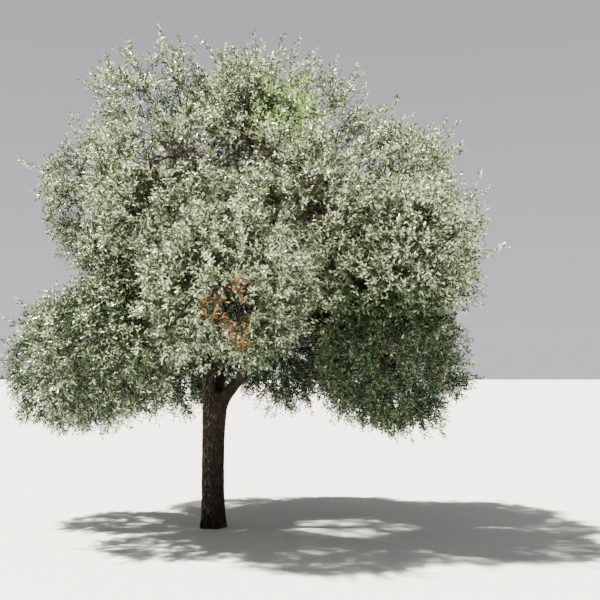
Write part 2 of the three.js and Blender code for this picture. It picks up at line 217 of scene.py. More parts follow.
# %% [markdown]
# A ball is too even for a lobe: here a bough has got further, and there one has died back. So a lobe's edge
# is its ball's, drawn in by smooth noise of the direction. A few lobes also have a share of their own:
# slighter where the crown is narrower than its solids, and fuller where it hangs thick.

# %% Give the lobes uneven edges
UNEVEN = 0.24
DENTS_PER_RADIUS = 2.2
LOBE_ON_NOISE = 7.3
DENT_SEED = 29
LOBE_SHARES = {
    "upper_left": 1.07, "shoulder_left": 0.92, "waist_front_left": 0.92, "waist_back_left": 0.9,
    "skirt_left": 1.02, "shoulder_right": 1.04, "waist_front_right": 0.97, "waist_back_right": 0.97,
    "skirt_front_right": 1.02, "skirt_front_left": 1.04, "skirt_back": 1.25,
    "skirt_back_right": 1.1, "skirt_back_left": 1.18, "waist_back": 1.1, "waist_front": 1.08,
}

lobe_shares = np.array([LOBE_SHARES.get(lobe["name"], 1) for lobe in lobes])


def edge_of(points, lobe):
    """How far a lobe goes towards each point: radius * its share * (1 - uneven * smooth noise of the
    direction, from 0 to 1). Each lobe reads the noise at a place of its own."""
    place = unit(points - centres[lobe]) * DENTS_PER_RADIUS + LOBE_ON_NOISE * lobe[:, None]
    dent = 0.5 + 0.5 * noise(place, DENT_SEED)
    return radii[lobe] * lobe_shares[lobe] * (1 - UNEVEN * dent)


print("lobes with a share of their own:", len(LOBE_SHARES))

# %% [markdown]
# Where a twig may grow is one question, asked of thousands of points at once. Balls cut from one another by
# Booleans could give the same space as a shape, but slowly. So it is a function of arrays: a point is
# inside if it passes each test, of its lobe's edge, of the bare hollow and of the way to each neighbour.

# %% Test where a lobe's space goes
# how far past the solids' box growth may reach, in metres
BEYOND = 0.05
SPACE_MARGIN = 4
NO_WALL = 1000
HOLLOW = {"centre": (250, 0, 2700), "radii": (700, 620, 850)}

between = centres[None] - centres[:, None]
distances = np.linalg.norm(between, axis=2)
towards = unit(between)
halfway = distances / 2 - SPACE_MARGIN * MM + np.where(np.eye(len(lobes)), NO_WALL, 0)
hollow_centre = np.array(HOLLOW["centre"]) * MM
hollow_radii = np.array(HOLLOW["radii"]) * MM


def in_space(points, lobe, spare=0.0):
    """Whether each point is inside its lobe's edge, out of the bare hollow, nearer to its lobe's centre
    than halfway to each neighbour's, and no further out than the solids reach and 50 mm."""
    offset = points - centres[lobe]
    in_reach = ((points > np.array(cad_box[0]) - BEYOND) & (points < np.array(cad_box[1]) + BEYOND)).all(1)
    in_edge = np.linalg.norm(offset, axis=1) <= edge_of(points, lobe) + spare
    bare = np.linalg.norm((points - hollow_centre) / hollow_radii, axis=1) >= 1
    in_cell = (np.einsum("nk,njk->nj", offset, towards[lobe]) < halfway[lobe]).all(axis=1)
    return in_reach & in_edge & bare & in_cell


def reach_in(ways, lobe, step=0.02):
    """How far a lobe's space goes in each direction from its centre, found by steps of 20 mm."""
    reach = np.zeros(len(ways))
    going = np.ones(len(ways), bool)
    while going.any():
        further = reach + step
        going &= in_space(centres[lobe] + ways * further[:, None], lobe)
        reach = np.where(going, further, reach)
    return reach


meeting = int((distances < radii[:, None] + radii).sum() - len(lobes)) // 2
print("pairs of lobes that meet:", meeting)

# %% [markdown]
# ## The limbs
# A limb could be drawn by hand, but then each change of the crown would ask for new drawing. Here each
# bough is a curve that leaves its parent's way and turns to the aim of its lobe, as a real one grows
# towards its own share of the light.

# %% Curves for the arms and the boughs
ARMS = {
    "leader": {"start": (-36, -4, 1080), "end": (-62, 6, 1585), "aim": (-0.05, 0.1, 1), "radius": (84, 60)},
    "right": {"start": (46, -8, 1110), "end": (300, -24, 1560), "aim": (0.7, -0.1, 0.7), "radius": (88, 54)},
    "back": {"start": (4, 34, 1100), "end": (60, 236, 1590), "aim": (0.12, 0.6, 0.78), "radius": (78, 52)},
}
# how far into its lobe a bough ends, as a share of the lobe's radius from its centre
ENTRY = 0.62
# how long a curve keeps the way of each end, as shares of its reach
ARM_PULL = (0.3, 0.5)
BOUGH_PULL = 0.34
# how much a bough's first way has of its parent's way, and of the straight way to its lobe
KEEP_WAY = 0.55
TURN_STRAIGHT = 0.8


def cubic(corners, t):
    """Points of a cubic curve: the four corners weighted by (1-t)^3, 3t(1-t)^2, 3t^2(1-t) and t^3."""
    t = np.asarray(t, float)[..., None]
    a, b, c, d = corners
    return (1 - t) ** 3 * a + 3 * t * (1 - t) ** 2 * b + 3 * t * t * (1 - t) * c + t**3 * d


def heading(corners, t, step=1e-4):
    """The direction of a cubic curve: between two points of it that lie a small step apart."""
    return unit(cubic(corners, min(t + step, 1)) - cubic(corners, max(t - step, 0)))


def arm_corners(arm):
    """An arm starts straight up inside the trunk and turns to its own aim."""
    start, end = (np.array(arm[key]) * MM for key in ("start", "end"))
    reach = np.linalg.norm(end - start)
    up, back = ARM_PULL
    return np.array([start, start + (0, 0, up * reach), end - unit(arm["aim"]) * back * reach, end])


def bough_corners(lobe, parent, share):
    """A bough leaves between its parent's heading and the straight way, and ends along its lobe's aim."""
    end = lobe["centre"] - lobe["aim"] * ENTRY * lobe["radius"]
    arm = parent if share is None else None
    start = np.array(arm["end"]) * MM if arm else cubic(parent["corners"], share)
    reach = np.linalg.norm(end - start)
    if arm:
        leave = unit(arm["aim"])
    else:
        way = heading(parent["corners"], share)
        leave = unit(KEEP_WAY * way + TURN_STRAIGHT * unit(end - start))
    return np.array(
        [start, start + leave * BOUGH_PULL * reach, end - lobe["aim"] * BOUGH_PULL * reach, end]
    )


print("the leader's corners in metres:", arm_corners(ARMS["leader"]).round(2).tolist())

# %% [markdown]
# The boughs of the upper tiers shape the fork, so each one's parent is named. The lower ones could be
# named too, but a rule follows the crown when it changes: each waist or skirt bough grows on the shoulder
# bough nearest to it, and a little further out than the last one there, so that no two leave together.

# %% Place every bough
PARENTS = {
    "top": ("leader", None),
    "shoulder_right": ("right", None),
    "shoulder_front_right": ("shoulder_right", 0.1),
    "shoulder_back_right": ("back", None),
    "shoulder_back_left": ("top", 0.13),
    "shoulder_left": ("top", 0.21),
    "shoulder_front_left": ("top", 0.05),
    "upper_right": ("top", 0.62),
    "upper_back": ("top", 0.48),
    "upper_left": ("top", 0.55),
    "upper_front": ("top", 0.4),
}
FROM_SHOULDER = {"waist": 0.5, "skirt": 0.24}
SHARE_STEP = 0.09
boughs = {}
taken = {}
shoulders = [lobe for lobe in lobes if lobe["tier"] == "shoulder"]


def degrees_apart(a, b):
    """The angle between two directions, from 0 to 180 degrees."""
    return abs((a - b + 540) % 360 - 180)


def place_bough(lobe):
    """Places a bough after what it grows on: a named parent, or the shoulder bough nearest to it."""
    if lobe["name"] in boughs:
        return
    if lobe["name"] in PARENTS:
        on, share = PARENTS[lobe["name"]]
    else:
        on, share = planned[lobe["name"]]
    if share is not None:
        place_bough(next(other for other in lobes if other["name"] == on))
    parent = ARMS[on] if share is None else boughs[on]
    corners = bough_corners(lobe, parent, share)
    length = float(np.linalg.norm(corners[3] - corners[0]))
    boughs[lobe["name"]] = {
        "name": lobe["name"], "on": on, "share": share, "corners": corners, "length": length,
    }


planned = {}
for lobe in lobes:
    if lobe["name"] in PARENTS:
        continue
    near = min(shoulders, key=lambda other: degrees_apart(other["degrees"], lobe["degrees"]))
    kind = near["name"] + lobe["tier"]
    taken[kind] = taken.get(kind, 0) + 1
    planned[lobe["name"]] = (near["name"], FROM_SHOULDER[lobe["tier"]] + SHARE_STEP * (taken[kind] - 1))
for lobe in lobes:
    place_bough(lobe)
print("boughs:", len(boughs), "with", round(sum(b["length"] for b in boughs.values()), 1), "m of limb")

# %% [markdown]
# A table could give each limb's thickness, but it would have to change with every bough. A real limb is as
# thick as what it carries: its section is the sum of the sections that leave it, as water pipes would
# have. So the thickness is worked out from the last bough back to the first, and each bough stays slimmer
# than the limb that it grows on.

# %% Work out how thick each limb is
TWIG_END = 13
BOUGH_TAPER = 6.5
SLIMMER = 0.82
TAPER_POWER = 0.85


def bough_radius(bough, t):
    """From the root's radius to the twig end's, by a power of the share of the length."""
    return mix(bough["root"], TWIG_END * MM, np.asarray(t) ** TAPER_POWER)


for bough in reversed(boughs.values()):
    carried = [other["root"] for other in boughs.values() if other["on"] == bough["name"]]
    grown = math.sqrt(sum(root**2 for root in carried) + (TWIG_END * MM) ** 2)
    on_arm = bough["share"] is None
    bough["root"] = (
        ARMS[bough["on"]]["radius"][1] * MM if on_arm else grown + BOUGH_TAPER * MM * bough["length"]
    )
for bough in boughs.values():
    if bough["share"] is not None:
        bough["root"] = min(bough["root"], SLIMMER * bough_radius(boughs[bough["on"]], bough["share"]))
print("root radii in mm:", {b["name"]: round(b["root"] / MM) for b in boughs.values()})

# %% [markdown]
# ## Tubes
# Trunk, boughs and twigs are all tubes along a path, so the same few functions make them all: a grid of
# rings round the points of many paths at once, worked out as whole arrays. Blender's own curves could do
# this, but a tree has thousands of twigs, and one array of corners is far quicker than that many objects.

# %% Rings round many paths at once
def side_frames(points):
    """For paths (n, k, 3): the two directions across each path at each point. One level direction,
    square to the path's chord, keeps the rings from twisting: across = side x along, beside = along x
    across."""
    along = unit(np.gradient(points, axis=1))
    chord = points[:, -1] - points[:, 0]
    side = np.cross((0, 0, 1), chord)
    flat = np.linalg.norm(side, axis=1) < 1e-3 * np.linalg.norm(chord, axis=1)
    side[flat] = (1, 0, 0)
    across = unit(np.cross(side[:, None], along))
    return unit(np.cross(along, across)), across, along


def rings(points, radius, sides):
    """Corners of the rings, (n, k, sides, 3): point + beside * r * cos + across * r * sin."""
    beside, across, _ = side_frames(points)
    angle = np.arange(sides) * 2 * math.pi / sides
    r = radius[..., None, None]
    return (
        points[:, :, None]
        + beside[:, :, None] * np.cos(angle)[:, None] * r
        + across[:, :, None] * np.sin(angle)[:, None] * r
    )


upright = np.array([[(0, 0, 0), (0, 0, 1), (0, 0, 2)]])
print("corners of 3 rings of 4:", rings(upright, np.ones((1, 3)), 4).shape)

# %% [markdown]
# Rings are only points until faces join them. Blender could skin them one square at a time, but a grid's
# faces follow a pattern, so their numbers are worked out as arrays too, and foreach_set hands them all to
# the mesh in one call. Both ends are closed by a fan of triangles.

# %% Turn rings into a mesh
def tube_faces(count, levels, sides):
    """Triangles of closed tubes: two for each square of the grid, and a fan over each end."""
    level, turn = np.meshgrid(np.arange(levels - 1), np.arange(sides), indexing="ij")
    a = (level * sides + turn).ravel()
    b = (level * sides + (turn + 1) % sides).ravel()
    walls = np.concatenate([np.stack([a, b, b + sides], 1), np.stack([a, b + sides, a + sides], 1)])
    k = np.arange(1, sides - 1)
    foot = np.stack([np.zeros_like(k), k + 1, k], 1)
    head = np.stack([np.zeros_like(k), k, k + 1], 1) + (levels - 1) * sides
    one = np.concatenate([walls, foot, head])
    return (one[None] + (np.arange(count) * levels * sides)[:, None, None]).reshape(-1, 3)


def mesh_object(name, corners, faces):
    """A mesh object from an array of corners (n, 3) and an array of triangles (m, 3)."""
    mesh = bpy.data.meshes.new(name)
    mesh.vertices.add(len(corners))
    mesh.vertices.foreach_set("co", np.asarray(corners, np.float32).ravel())
    mesh.loops.add(faces.size)
    mesh.loops.foreach_set("vertex_index", faces.astype(np.int32).ravel())
    mesh.polygons.add(len(faces))
    mesh.polygons.foreach_set("loop_start", np.arange(0, faces.size, 3, dtype=np.int32))
    mesh.update(calc_edges=True)
    mesh.validate()
    made = bpy.data.objects.new(name, mesh)
    bpy.context.scene.collection.objects.link(made)
    return made


print("a tube of 4 rings of 3 has", len(tube_faces(1, 4, 3)), "triangles")

# %% [markdown]
# ## The trunk and its limbs
# The trunk is a column that spreads in five lobes at the root and swells below the fork. A lathe could
# turn a round one, but root lobes are not round, so its radius is a function of height and angle. The
# first ring lies a little too low, so that the foot can be cut flat later.

# %% The trunk as a grid of rings
TRUNK = {"radius": 115, "lean": 22, "sway": 14, "top": 1410, "crown": 45}
FLARE = {"height": 130, "width": 27, "lobes": 5, "depth": 0.5, "turn": 0.6}
FORK_SWELL = {"height": 1400, "width": 18, "fade": 330}


def trunk_radius(z, angle):
    """Column, root flare that fades as exp(-z / height) and has five lobes, and the swell below the
    fork, a bell curve of the height."""
    z = z / MM
    lobed = 1 + FLARE["depth"] * np.cos(FLARE["lobes"] * angle + FLARE["turn"])
    flare = FLARE["width"] * np.exp(-z / FLARE["height"]) * lobed
    swell = FORK_SWELL["width"] * np.exp(-(((z - FORK_SWELL["height"]) / FORK_SWELL["fade"]) ** 2))
    return (TRUNK["radius"] + flare + swell) * MM


TRUNK_LEVELS = 60
TRUNK_SIDES = 60
DOME_FROM = 0.84
CUT_OFF = 0.02
top = TRUNK["top"] * MM
trunk_corners = np.array([
    (0, 0, 0), (0, 0, top / 3), (-TRUNK["sway"] * MM, 0, 2 * top / 3), (TRUNK["lean"] * MM, 0, top),
])
share = np.linspace(0, 1, TRUNK_LEVELS)
narrowing = 1 - (TRUNK["crown"] / TRUNK["radius"]) ** 2
dome = np.sqrt(1 - np.maximum(0, (share - DOME_FROM) / (1 - DOME_FROM)) ** 2 * narrowing)
trunk_axis = cubic(trunk_corners, share)
angle = np.arange(TRUNK_SIDES) * 2 * math.pi / TRUNK_SIDES
ring = rings(trunk_axis[None], np.ones((1, TRUNK_LEVELS)), TRUNK_SIDES) - trunk_axis[None, :, None]
azimuth = np.arctan2(-ring[..., 1], ring[..., 0])
girth = trunk_radius(share[None, :, None] * top, azimuth) * dome[None, :, None]
trunk_rings = trunk_axis[None, :, None] + ring * girth[..., None]
trunk_rings[:, 0, :, 2] = -CUT_OFF
print("trunk is", round(float(2 * girth[0, TRUNK_LEVELS // 3].mean()), 3), "m thick at a third of its height")

# %% [markdown]
# The trunk parts into three arms, and one bough goes on from each. An arm and its bough could be two
# tubes, but a seam would show between them. They are one limb on the tree, so they make one tube.

# %% Tubes of the three limbs
LIMB_STEP = 0.03
FEWEST_STEPS = 8
ARM_LEVELS = 24
LIMB_SIDES = 16


def limb_of(arm_name):
    """Axis points and radii along an arm and the bough that goes on from it."""
    arm = ARMS[arm_name]
    bough = next(b for b in boughs.values() if b["on"] == arm_name)
    t_arm = np.linspace(0, 1, ARM_LEVELS)
    t_bough = np.linspace(0, 1, max(int(bough["length"] / LIMB_STEP), FEWEST_STEPS))[1:]
    axis = np.concatenate([cubic(arm_corners(arm), t_arm), cubic(bough["corners"], t_bough)])
    radius = np.concatenate([mix(*np.array(arm["radius"]) * MM, t_arm), bough_radius(bough, t_bough)])
    return axis, radius


leading = [limb_of(name) for name in ARMS]
parts = [(trunk_rings.reshape(-1, 3), tube_faces(1, TRUNK_LEVELS, TRUNK_SIDES))]
for axis, radius in leading:
    corners = rings(axis[None], radius[None], LIMB_SIDES).reshape(-1, 3)
    parts.append((corners, tube_faces(1, len(axis), LIMB_SIDES)))
print("points along the limbs' axes:", [len(axis) for axis, _ in leading])

# %% [markdown]
# Wood has no seams where limbs meet. Blender could unite the tubes with Booleans, but the crotch would
# stay a sharp line. A voxel remesh turns them into one even skin, and some smoothing then rounds the
# crotch as growing wood does. The relief comes after both, because they would wear it away.

# %% Fuse the trunk and the three limbs
SKIN_VOXEL = 0.0062
SKIN_ROUNDS = 14


def joined(name, parts):
    """One mesh object of several pairs of corners and triangles."""
    offsets = np.cumsum([0] + [len(corners) for corners, _ in parts[:-1]])
    return mesh_object(
        name,
        np.concatenate([corners for corners, _ in parts]),
        np.concatenate([faces + offset for (_, faces), offset in zip(parts, offsets)]),
    )


raw = joined("bark_raw", parts)
remesh = raw.modifiers.new("skin", "REMESH")
remesh.mode = "VOXEL"
remesh.voxel_size = SKIN_VOXEL
smooth = raw.modifiers.new("round", "SMOOTH")
smooth.factor = 0.5
smooth.iterations = SKIN_ROUNDS
skin = bpy.data.meshes.new_from_object(raw.evaluated_get(bpy.context.evaluated_depsgraph_get()))
bpy.data.objects.remove(raw)
place = np.empty(len(skin.vertices) * 3, np.float32)
skin.vertices.foreach_get("co", place)
place = place.reshape(-1, 3).astype(float)
print("the fused skin has", len(skin.polygons), "squares")

# %% [markdown]
# ## The bark's relief
# Old jodina bark is dark, thick and split by deep upright fissures into long ridges, which cracks across
# cut into plates. It could be a bump in the material, but a trunk seen against the light shows its edge,
# so the relief is real. Its height is a function of the place in the limb's own directions: across the
# limb, where ridges lie about 23 mm apart, and along it, where they run on five times as long.

# %% The height of the bark
RIDGE_APART = 0.023
RIDGE_LENGTH = 0.12
# the fissures' second noise: how much finer it is, and its share
SECOND_FINER = 2.1
SECOND_SHARE = 0.5
PLATE_APART = 0.03
PLATE_LONGER = 1.3
GRAIN = 0.006
GRAIN_LONGER = 2
WANDER_APART = (0.07, 0.07, 0.16)
WANDER_BY = (0.014, 0.014, 0)
FISSURE_WIDTH = (0.02, 0.3)
CRACK_WIDTH = (0.0, 0.16)
RIDGE_HIGH = 0.3
FISSURE_DEEP = 1.1
CRACK_DEEP = 0.4
GRAIN_HIGH = 0.18


def smooth_step(low, high, value):
    """0 below low, 1 above high, and t * t * (3 - 2 * t) between."""
    t = np.clip((value - low) / (high - low), 0, 1)
    return t * t * (3 - 2 * t)


def bark_height(local):
    """Height from about -1 in a fissure to 0.3 on a ridge, with a fine grain on both. Fissures are thin
    bands where a stretched noise passes zero, so they run on and meet as real ones do. The cracks that
    cut ridges into plates are shallower bands."""
    wander = noise(local / WANDER_APART, 1)[:, None] * WANDER_BY
    long_way = (local + wander) / (RIDGE_APART, RIDGE_APART, RIDGE_LENGTH)
    line = noise(long_way, 2) + SECOND_SHARE * noise(long_way * SECOND_FINER, 3)
    fissure = 1 - smooth_step(*FISSURE_WIDTH, np.abs(line))
    plates = (local + wander) / (PLATE_APART, PLATE_APART, PLATE_APART * PLATE_LONGER)
    crack = 1 - smooth_step(*CRACK_WIDTH, np.abs(noise(plates, 4)))
    grain = noise(local / (GRAIN, GRAIN, GRAIN * GRAIN_LONGER), 5)
    return RIDGE_HIGH - FISSURE_DEEP * fissure - CRACK_DEEP * crack * (1 - fissure) + GRAIN_HIGH * grain


print("bark height in a small patch:", bark_height(np.random.default_rng(1).random((5, 3))).round(2))

# %% [markdown]
# One set of directions for the whole skin would be simple, but the ridges would then run askew off every
# limb that leans. So each point needs its place in its own limb's directions. The nearest point of the
# limb's axis gives how far along it lies, and what is left points across. Near the fork a point
# belongs to several limbs, so their reliefs are blended by how close it lies to each one's surface. Old
# bark is deepest, so the relief is a share of the limb's radius, up to 9.5 mm on the trunk.

# %% Raise the relief on the fused skin
RELIEF_SHARE = 0.085
RELIEF_MOST = 0.0095
FORK_BLEND = 0.02
APART_ON_NOISE = 3.1


def squares(points, others):
    """The square of the distance from each point to each other: a * a - 2 * a * b + b * b."""
    return (points**2).sum(1)[:, None] - 2 * points @ others.T + (others**2).sum(1)


def limb_local(points, axis, radius):
    """Place of points in a limb's own directions, (n, 3): across, across and along, with the distance
    from its surface and its radius there. The search takes the nearest axis sample of all."""
    beside, across, along = (frames[0] for frames in side_frames(axis[None]))
    metres = np.concatenate([[0], np.cumsum(np.linalg.norm(np.diff(axis, axis=0), axis=1))])
    square = squares(points, axis)
    near = square.argmin(1)
    offset = points - axis[near]
    run = metres[near] + (offset * along[near]).sum(1)
    local = np.stack([(offset * beside[near]).sum(1), (offset * across[near]).sum(1), run], 1)
    return local, np.sqrt(np.maximum(square.min(1), 0)) - radius[near], radius[near]


def relief_depth(radius):
    """A share of the radius, up to what the oldest bark has."""
    return np.minimum(RELIEF_SHARE * radius, RELIEF_MOST)


total = np.zeros(len(place))
weights = np.zeros(len(place))
depth = np.zeros(len(place))
trunk_girth = trunk_radius(share * top, 0) * dome
for number, (axis, radius) in enumerate([(trunk_axis, trunk_girth), *leading]):
    local, outside, near_radius = limb_local(place, axis, radius)
    local[:, 2] += APART_ON_NOISE * number
    weight = np.exp(-np.abs(outside) / FORK_BLEND)
    total += weight * bark_height(local)
    depth += weight * relief_depth(near_radius)
    weights += weight
height = total / weights
normals = np.empty(len(place) * 3, np.float32)
skin.vertex_normals.foreach_get("vector", normals)
place += normals.reshape(-1, 3) * (height * depth / weights)[:, None]
print("relief from", round(float((height * depth / weights).min()) / MM, 1), "to",
      round(float((height * depth / weights).max()) / MM, 1), "mm")

# %% [markdown]
# The trunk meets level ground in a flat foot. A Boolean with a box could cut it. One cut by a plane is
# simpler, and keeps the ridge attribute that the bark's colour reads. It lies half a millimetre up, so
# that the foot and the floor don't fill the same plane.

# %% Cut the foot flat at the ground
CUT_HEIGHT = 0.0005

skin.vertices.foreach_set("co", place.astype(np.float32).ravel())
ridge = skin.attributes.new("ridge", "FLOAT", "POINT")
ridge.data.foreach_set("value", height.astype(np.float32))
work = bmesh.new()
work.from_mesh(skin)
everything = [*work.verts, *work.edges, *work.faces]
bmesh.ops.bisect_plane(
    work, geom=everything, plane_co=(0, 0, CUT_HEIGHT), plane_no=(0, 0, 1), clear_inner=True
)
bmesh.ops.holes_fill(work, edges=[edge for edge in work.edges if edge.is_boundary])
bmesh.ops.triangulate(work, faces=work.faces)
work.to_mesh(skin)
work.free()
skin.polygons.foreach_set("use_smooth", np.ones(len(skin.polygons), bool))
bark_trunk = bpy.data.objects.new("bark_trunk", skin)
bpy.context.scene.collection.objects.link(bark_trunk)
print("bark_trunk:", len(skin.polygons), "triangles")

# %% [markdown]
# The other boughs could be fused in too, but so large a skin would have to be coarser. They are thinner,
# and leaves hide where they start. So each starts inside what it grows on, with a collar that swells
# towards it, and its relief is worked out on its own grid of rings. They are joined in one mesh.

# %% The other boughs
BOUGH_STEP = 0.016
STOUT = 0.03
COLLAR = 0.22
COLLAR_FADE = 14
SWAY = 0.5
# for the two ways across a bough: how far apart in metres its bends lie, and the noise's row per bough
SWAY_NOISE = ((0.24, 3.0), (0.31, 5.0))
FEWEST_LEVELS = 12
BOUGH_ON_NOISE = 2.7
SWAY_SEED = 11
BOUGH_SIDES = (12, 18)


def bough_mesh(bough, number):
    """A tube with relief: the surface is axis + radius * (1 + collar * exp(-fade * t)) + height, and the
    axis sways by noise, up to half a radius."""
    levels = max(int(bough["length"] / BOUGH_STEP), FEWEST_LEVELS)
    sides = BOUGH_SIDES[int(bough["root"] > STOUT)]
    t = np.linspace(0, 1, levels)
    axis = cubic(bough["corners"], t)
    metres = t * bough["length"]
    radius = bough_radius(bough, t) + COLLAR * bough["root"] * np.exp(-COLLAR_FADE * t)
    sway, lift = (
        noise(np.stack([metres / size, np.full(levels, row * number), np.full(levels, k)], 1), SWAY_SEED + k)
        for k, (size, row) in enumerate(SWAY_NOISE)
    )
    beside, across, _ = (f[0] for f in side_frames(axis[None]))
    bend = np.minimum(1, 6 * t * (1 - t))[:, None] * SWAY * radius[:, None]
    axis = axis + bend * (sway[:, None] * beside + lift[:, None] * across)
    corners = rings(axis[None], radius[None], sides)[0]
    out = unit(corners - axis[:, None])
    around = np.arange(sides) * 2 * math.pi / sides
    local = np.stack([
        np.cos(around) * radius[:, None], np.sin(around) * radius[:, None],
        np.repeat(metres[:, None] + BOUGH_ON_NOISE * number, sides, 1),
    ], 2)
    high = bark_height(local.reshape(-1, 3)).reshape(levels, sides)
    corners = corners + out * (high * relief_depth(radius)[:, None])[..., None]
    return corners.reshape(-1, 3), tube_faces(1, levels, sides), high.ravel(), axis, radius


on_boughs = [b for b in boughs.values() if b["share"] is not None]
parts = [bough_mesh(bough, number) for number, bough in enumerate(on_boughs)]
bark_boughs = joined("bark_boughs", [part[:2] for part in parts])
ridge = bark_boughs.data.attributes.new("ridge", "FLOAT", "POINT")
ridge.data.foreach_set("value", np.concatenate([part[2] for part in parts]).astype(np.float32))
bark_boughs.data.polygons.foreach_set("use_smooth", np.ones(len(bark_boughs.data.polygons), bool))
limb_points = np.concatenate([axis for axis, _ in leading] + [part[3] for part in parts] + [trunk_axis])
limb_radii = np.concatenate([r for _, r in leading] + [part[4] for part in parts] + [trunk_girth])
print("bark_boughs:", len(bark_boughs.data.polygons), "triangles")

# %% [markdown]
# ## Colour and material helpers
# A material here is a small graph of nodes. It could be drawn in Blender's editor, but as a script it can
# be read and changed line by line. Colours are written as the sRGB hex values that a paint chart would
# give, and one function turns them to the linear values that light needs. One more function adds a node
# with its settings and links, so each material below reads as a list of what it is made of.

# %% Helpers for materials
def linear(colour):
    """An sRGB hex colour as linear red, green, blue and 1: c / 12.92 up to 0.04045, and above that
    ((c + 0.055) / 1.055) ** 2.4."""
    parts = [int(colour[k : k + 2], 16) / 255 for k in (1, 3, 5)]
    return (*[c / 12.92 if c <= 0.04045 else ((c + 0.055) / 1.055) ** 2.4 for c in parts], 1)


def node(material, kind, settings=None, inputs=None, stops=None):
    """Adds a node: its own settings, its inputs as values or as other nodes' outputs, and the stops of a
    colour ramp as pairs of a place and a hex colour."""
    made = material.node_tree.nodes.new(kind)
    for key, value in (settings or {}).items():
        setattr(made, key, value)
    for key, value in (inputs or {}).items():
        if isinstance(value, bpy.types.NodeSocket):
            material.node_tree.links.new(value, made.inputs[key])
        else:
            made.inputs[key].default_value = value
    for k, (place, colour) in enumerate(stops or []):
        elements = made.color_ramp.elements
        element = elements[k] if k < 2 else elements.new(place)
        element.position = place
        element.color = linear(colour)
    return made


def apart(millimetres):
    """The noise scale whose features lie so many millimetres apart: 1 / the distance in metres."""
    return 1 / (millimetres * MM)


def new_material(name):
    """An empty material with only its output."""
    made = bpy.data.materials.new(name)
    made.use_nodes = True
    made.node_tree.nodes.clear()
    made.node_tree.nodes.new("ShaderNodeOutputMaterial")
    return made


def show(material, shader):
    """Links a shader to the material's output."""
    output = material.node_tree.nodes["Material Output"]
    material.node_tree.links.new(shader.outputs[0], output.inputs["Surface"])


print("mid grey in linear light:", round(linear("#808080")[0], 3))

# %% [markdown]
# ## The bark's finish
# Jodina bark is corky and dead on its outside: grey-brown on the ridges, with reddish patches where
# plates have come off, and near black in the fissures, partly from the damp that they hold and partly
# as painted shade, for shade falls in them. Small pale chips lie on it, and more of them on the left:
# that larger share is painted sunlight, from the key light on the left. It has no gloss. A picture of bark
# would show its seams and repeats. Here the ridge attribute, kept from the relief, puts the dark in the
# fissures, and noises of real size do the rest.

# %% Colour the ridges and their chips
PATCH_APART = 90
CHIP_APART = (12, 12, 38)

bark = new_material("fissured_bark")
spot = node(bark, "ShaderNodeTexCoord").outputs["Object"]
patches = node(
    bark, "ShaderNodeTexNoise", None, {"Vector": spot, "Scale": apart(PATCH_APART), "Detail": 5}
)
ridge_colour = node(
    bark, "ShaderNodeValToRGB", None, {"Fac": patches.outputs["Fac"]},
    [(0.36, "#171611"), (0.5, "#1e1b15"), (0.6, "#292019"), (0.7, "#3f2c20")],
)
stretched = node(
    bark, "ShaderNodeMapping", None, {"Vector": spot, "Scale": [apart(size) for size in CHIP_APART]}
)
chips = node(
    bark, "ShaderNodeTexNoise", None, {"Vector": stretched.outputs["Vector"], "Scale": 1, "Detail": 3}
)
pale = node(
    bark, "ShaderNodeValToRGB", None, {"Fac": chips.outputs["Fac"]}, [(0.57, "#000000"), (0.66, "#d8d8d8")]
)
sides = node(bark, "ShaderNodeSeparateXYZ", None, {"Vector": spot})
# painted sunlight: a larger share of pale chips towards the left, where the key light comes from
painted_sun_left = node(
    bark, "ShaderNodeMapRange", None,
    {"Value": sides.outputs["X"], "From Min": 0.03, "From Max": -0.1, "To Min": 0.12, "To Max": 1},
)
chip_share = node(
    bark, "ShaderNodeMath", {"operation": "MULTIPLY"},
    {0: pale.outputs["Color"], 1: painted_sun_left.outputs["Result"]},
)
chipped = node(
    bark, "ShaderNodeMix", {"data_type": "RGBA"},
    {0: chip_share.outputs["Value"], 6: ridge_colour.outputs["Color"], 7: linear("#958b80")},
)
print("bark nodes so far:", len(bark.node_tree.nodes))

# %% [markdown]
# Fissures are near black whatever the ridges have: partly from the damp that they hold, and partly as
# painted shade, for shade falls in them. One more noise could guess at them, but the relief knows where
# they are: its height was kept as the ridge attribute. Old cork also crumbles in grains of about 4 mm.
# They go into a bump, because so fine a grain would need more corners than the whole trunk has.

# %% Darken the fissures and roughen the bark
FINE_APART = 4

high = node(bark, "ShaderNodeAttribute", {"attribute_name": "ridge"})
out_of_fissure = node(
    bark, "ShaderNodeMapRange", None,
    {"Value": high.outputs["Fac"], "From Min": -0.75, "From Max": 0.15, "To Min": 0, "To Max": 1},
)
# partly painted shade: the fissures near black
bark_colour = node(
    bark, "ShaderNodeMix", {"data_type": "RGBA"},
    {0: out_of_fissure.outputs["Result"], 6: linear("#0e0c09"), 7: chipped.outputs[2]},
)
fine = node(bark, "ShaderNodeTexNoise", None, {"Vector": spot, "Scale": apart(FINE_APART), "Detail": 5})
rough = node(
    bark, "ShaderNodeBump", None, {"Height": fine.outputs["Fac"], "Strength": 0.5, "Distance": 0.002}
)
show(bark, node(
    bark, "ShaderNodeBsdfPrincipled", None,
    {"Base Color": bark_colour.outputs[2], "Roughness": 0.93, "Specular IOR Level": 0.25,
     "Normal": rough.outputs["Normal"]},
))
for piece in (bark_trunk, bark_boughs):
    piece.data.materials.append(bark)
print("bark nodes:", len(bark.node_tree.nodes))

# %% [markdown]
# ## Branches
# Wood of every order grows by the same few steps: ways that spread out evenly, a bent path along each,
# and a little wander, because no twig is a true arc. Each could be drawn as a Blender curve, but there
# are thousands. So each step is a formula for a whole array of paths.

# %% Ways, bent paths and their wander
GOLDEN_ANGLE = math.pi * (3 - math.sqrt(5))
WANDER_STEP = 0.11
AXIS_ON_NOISE = 17


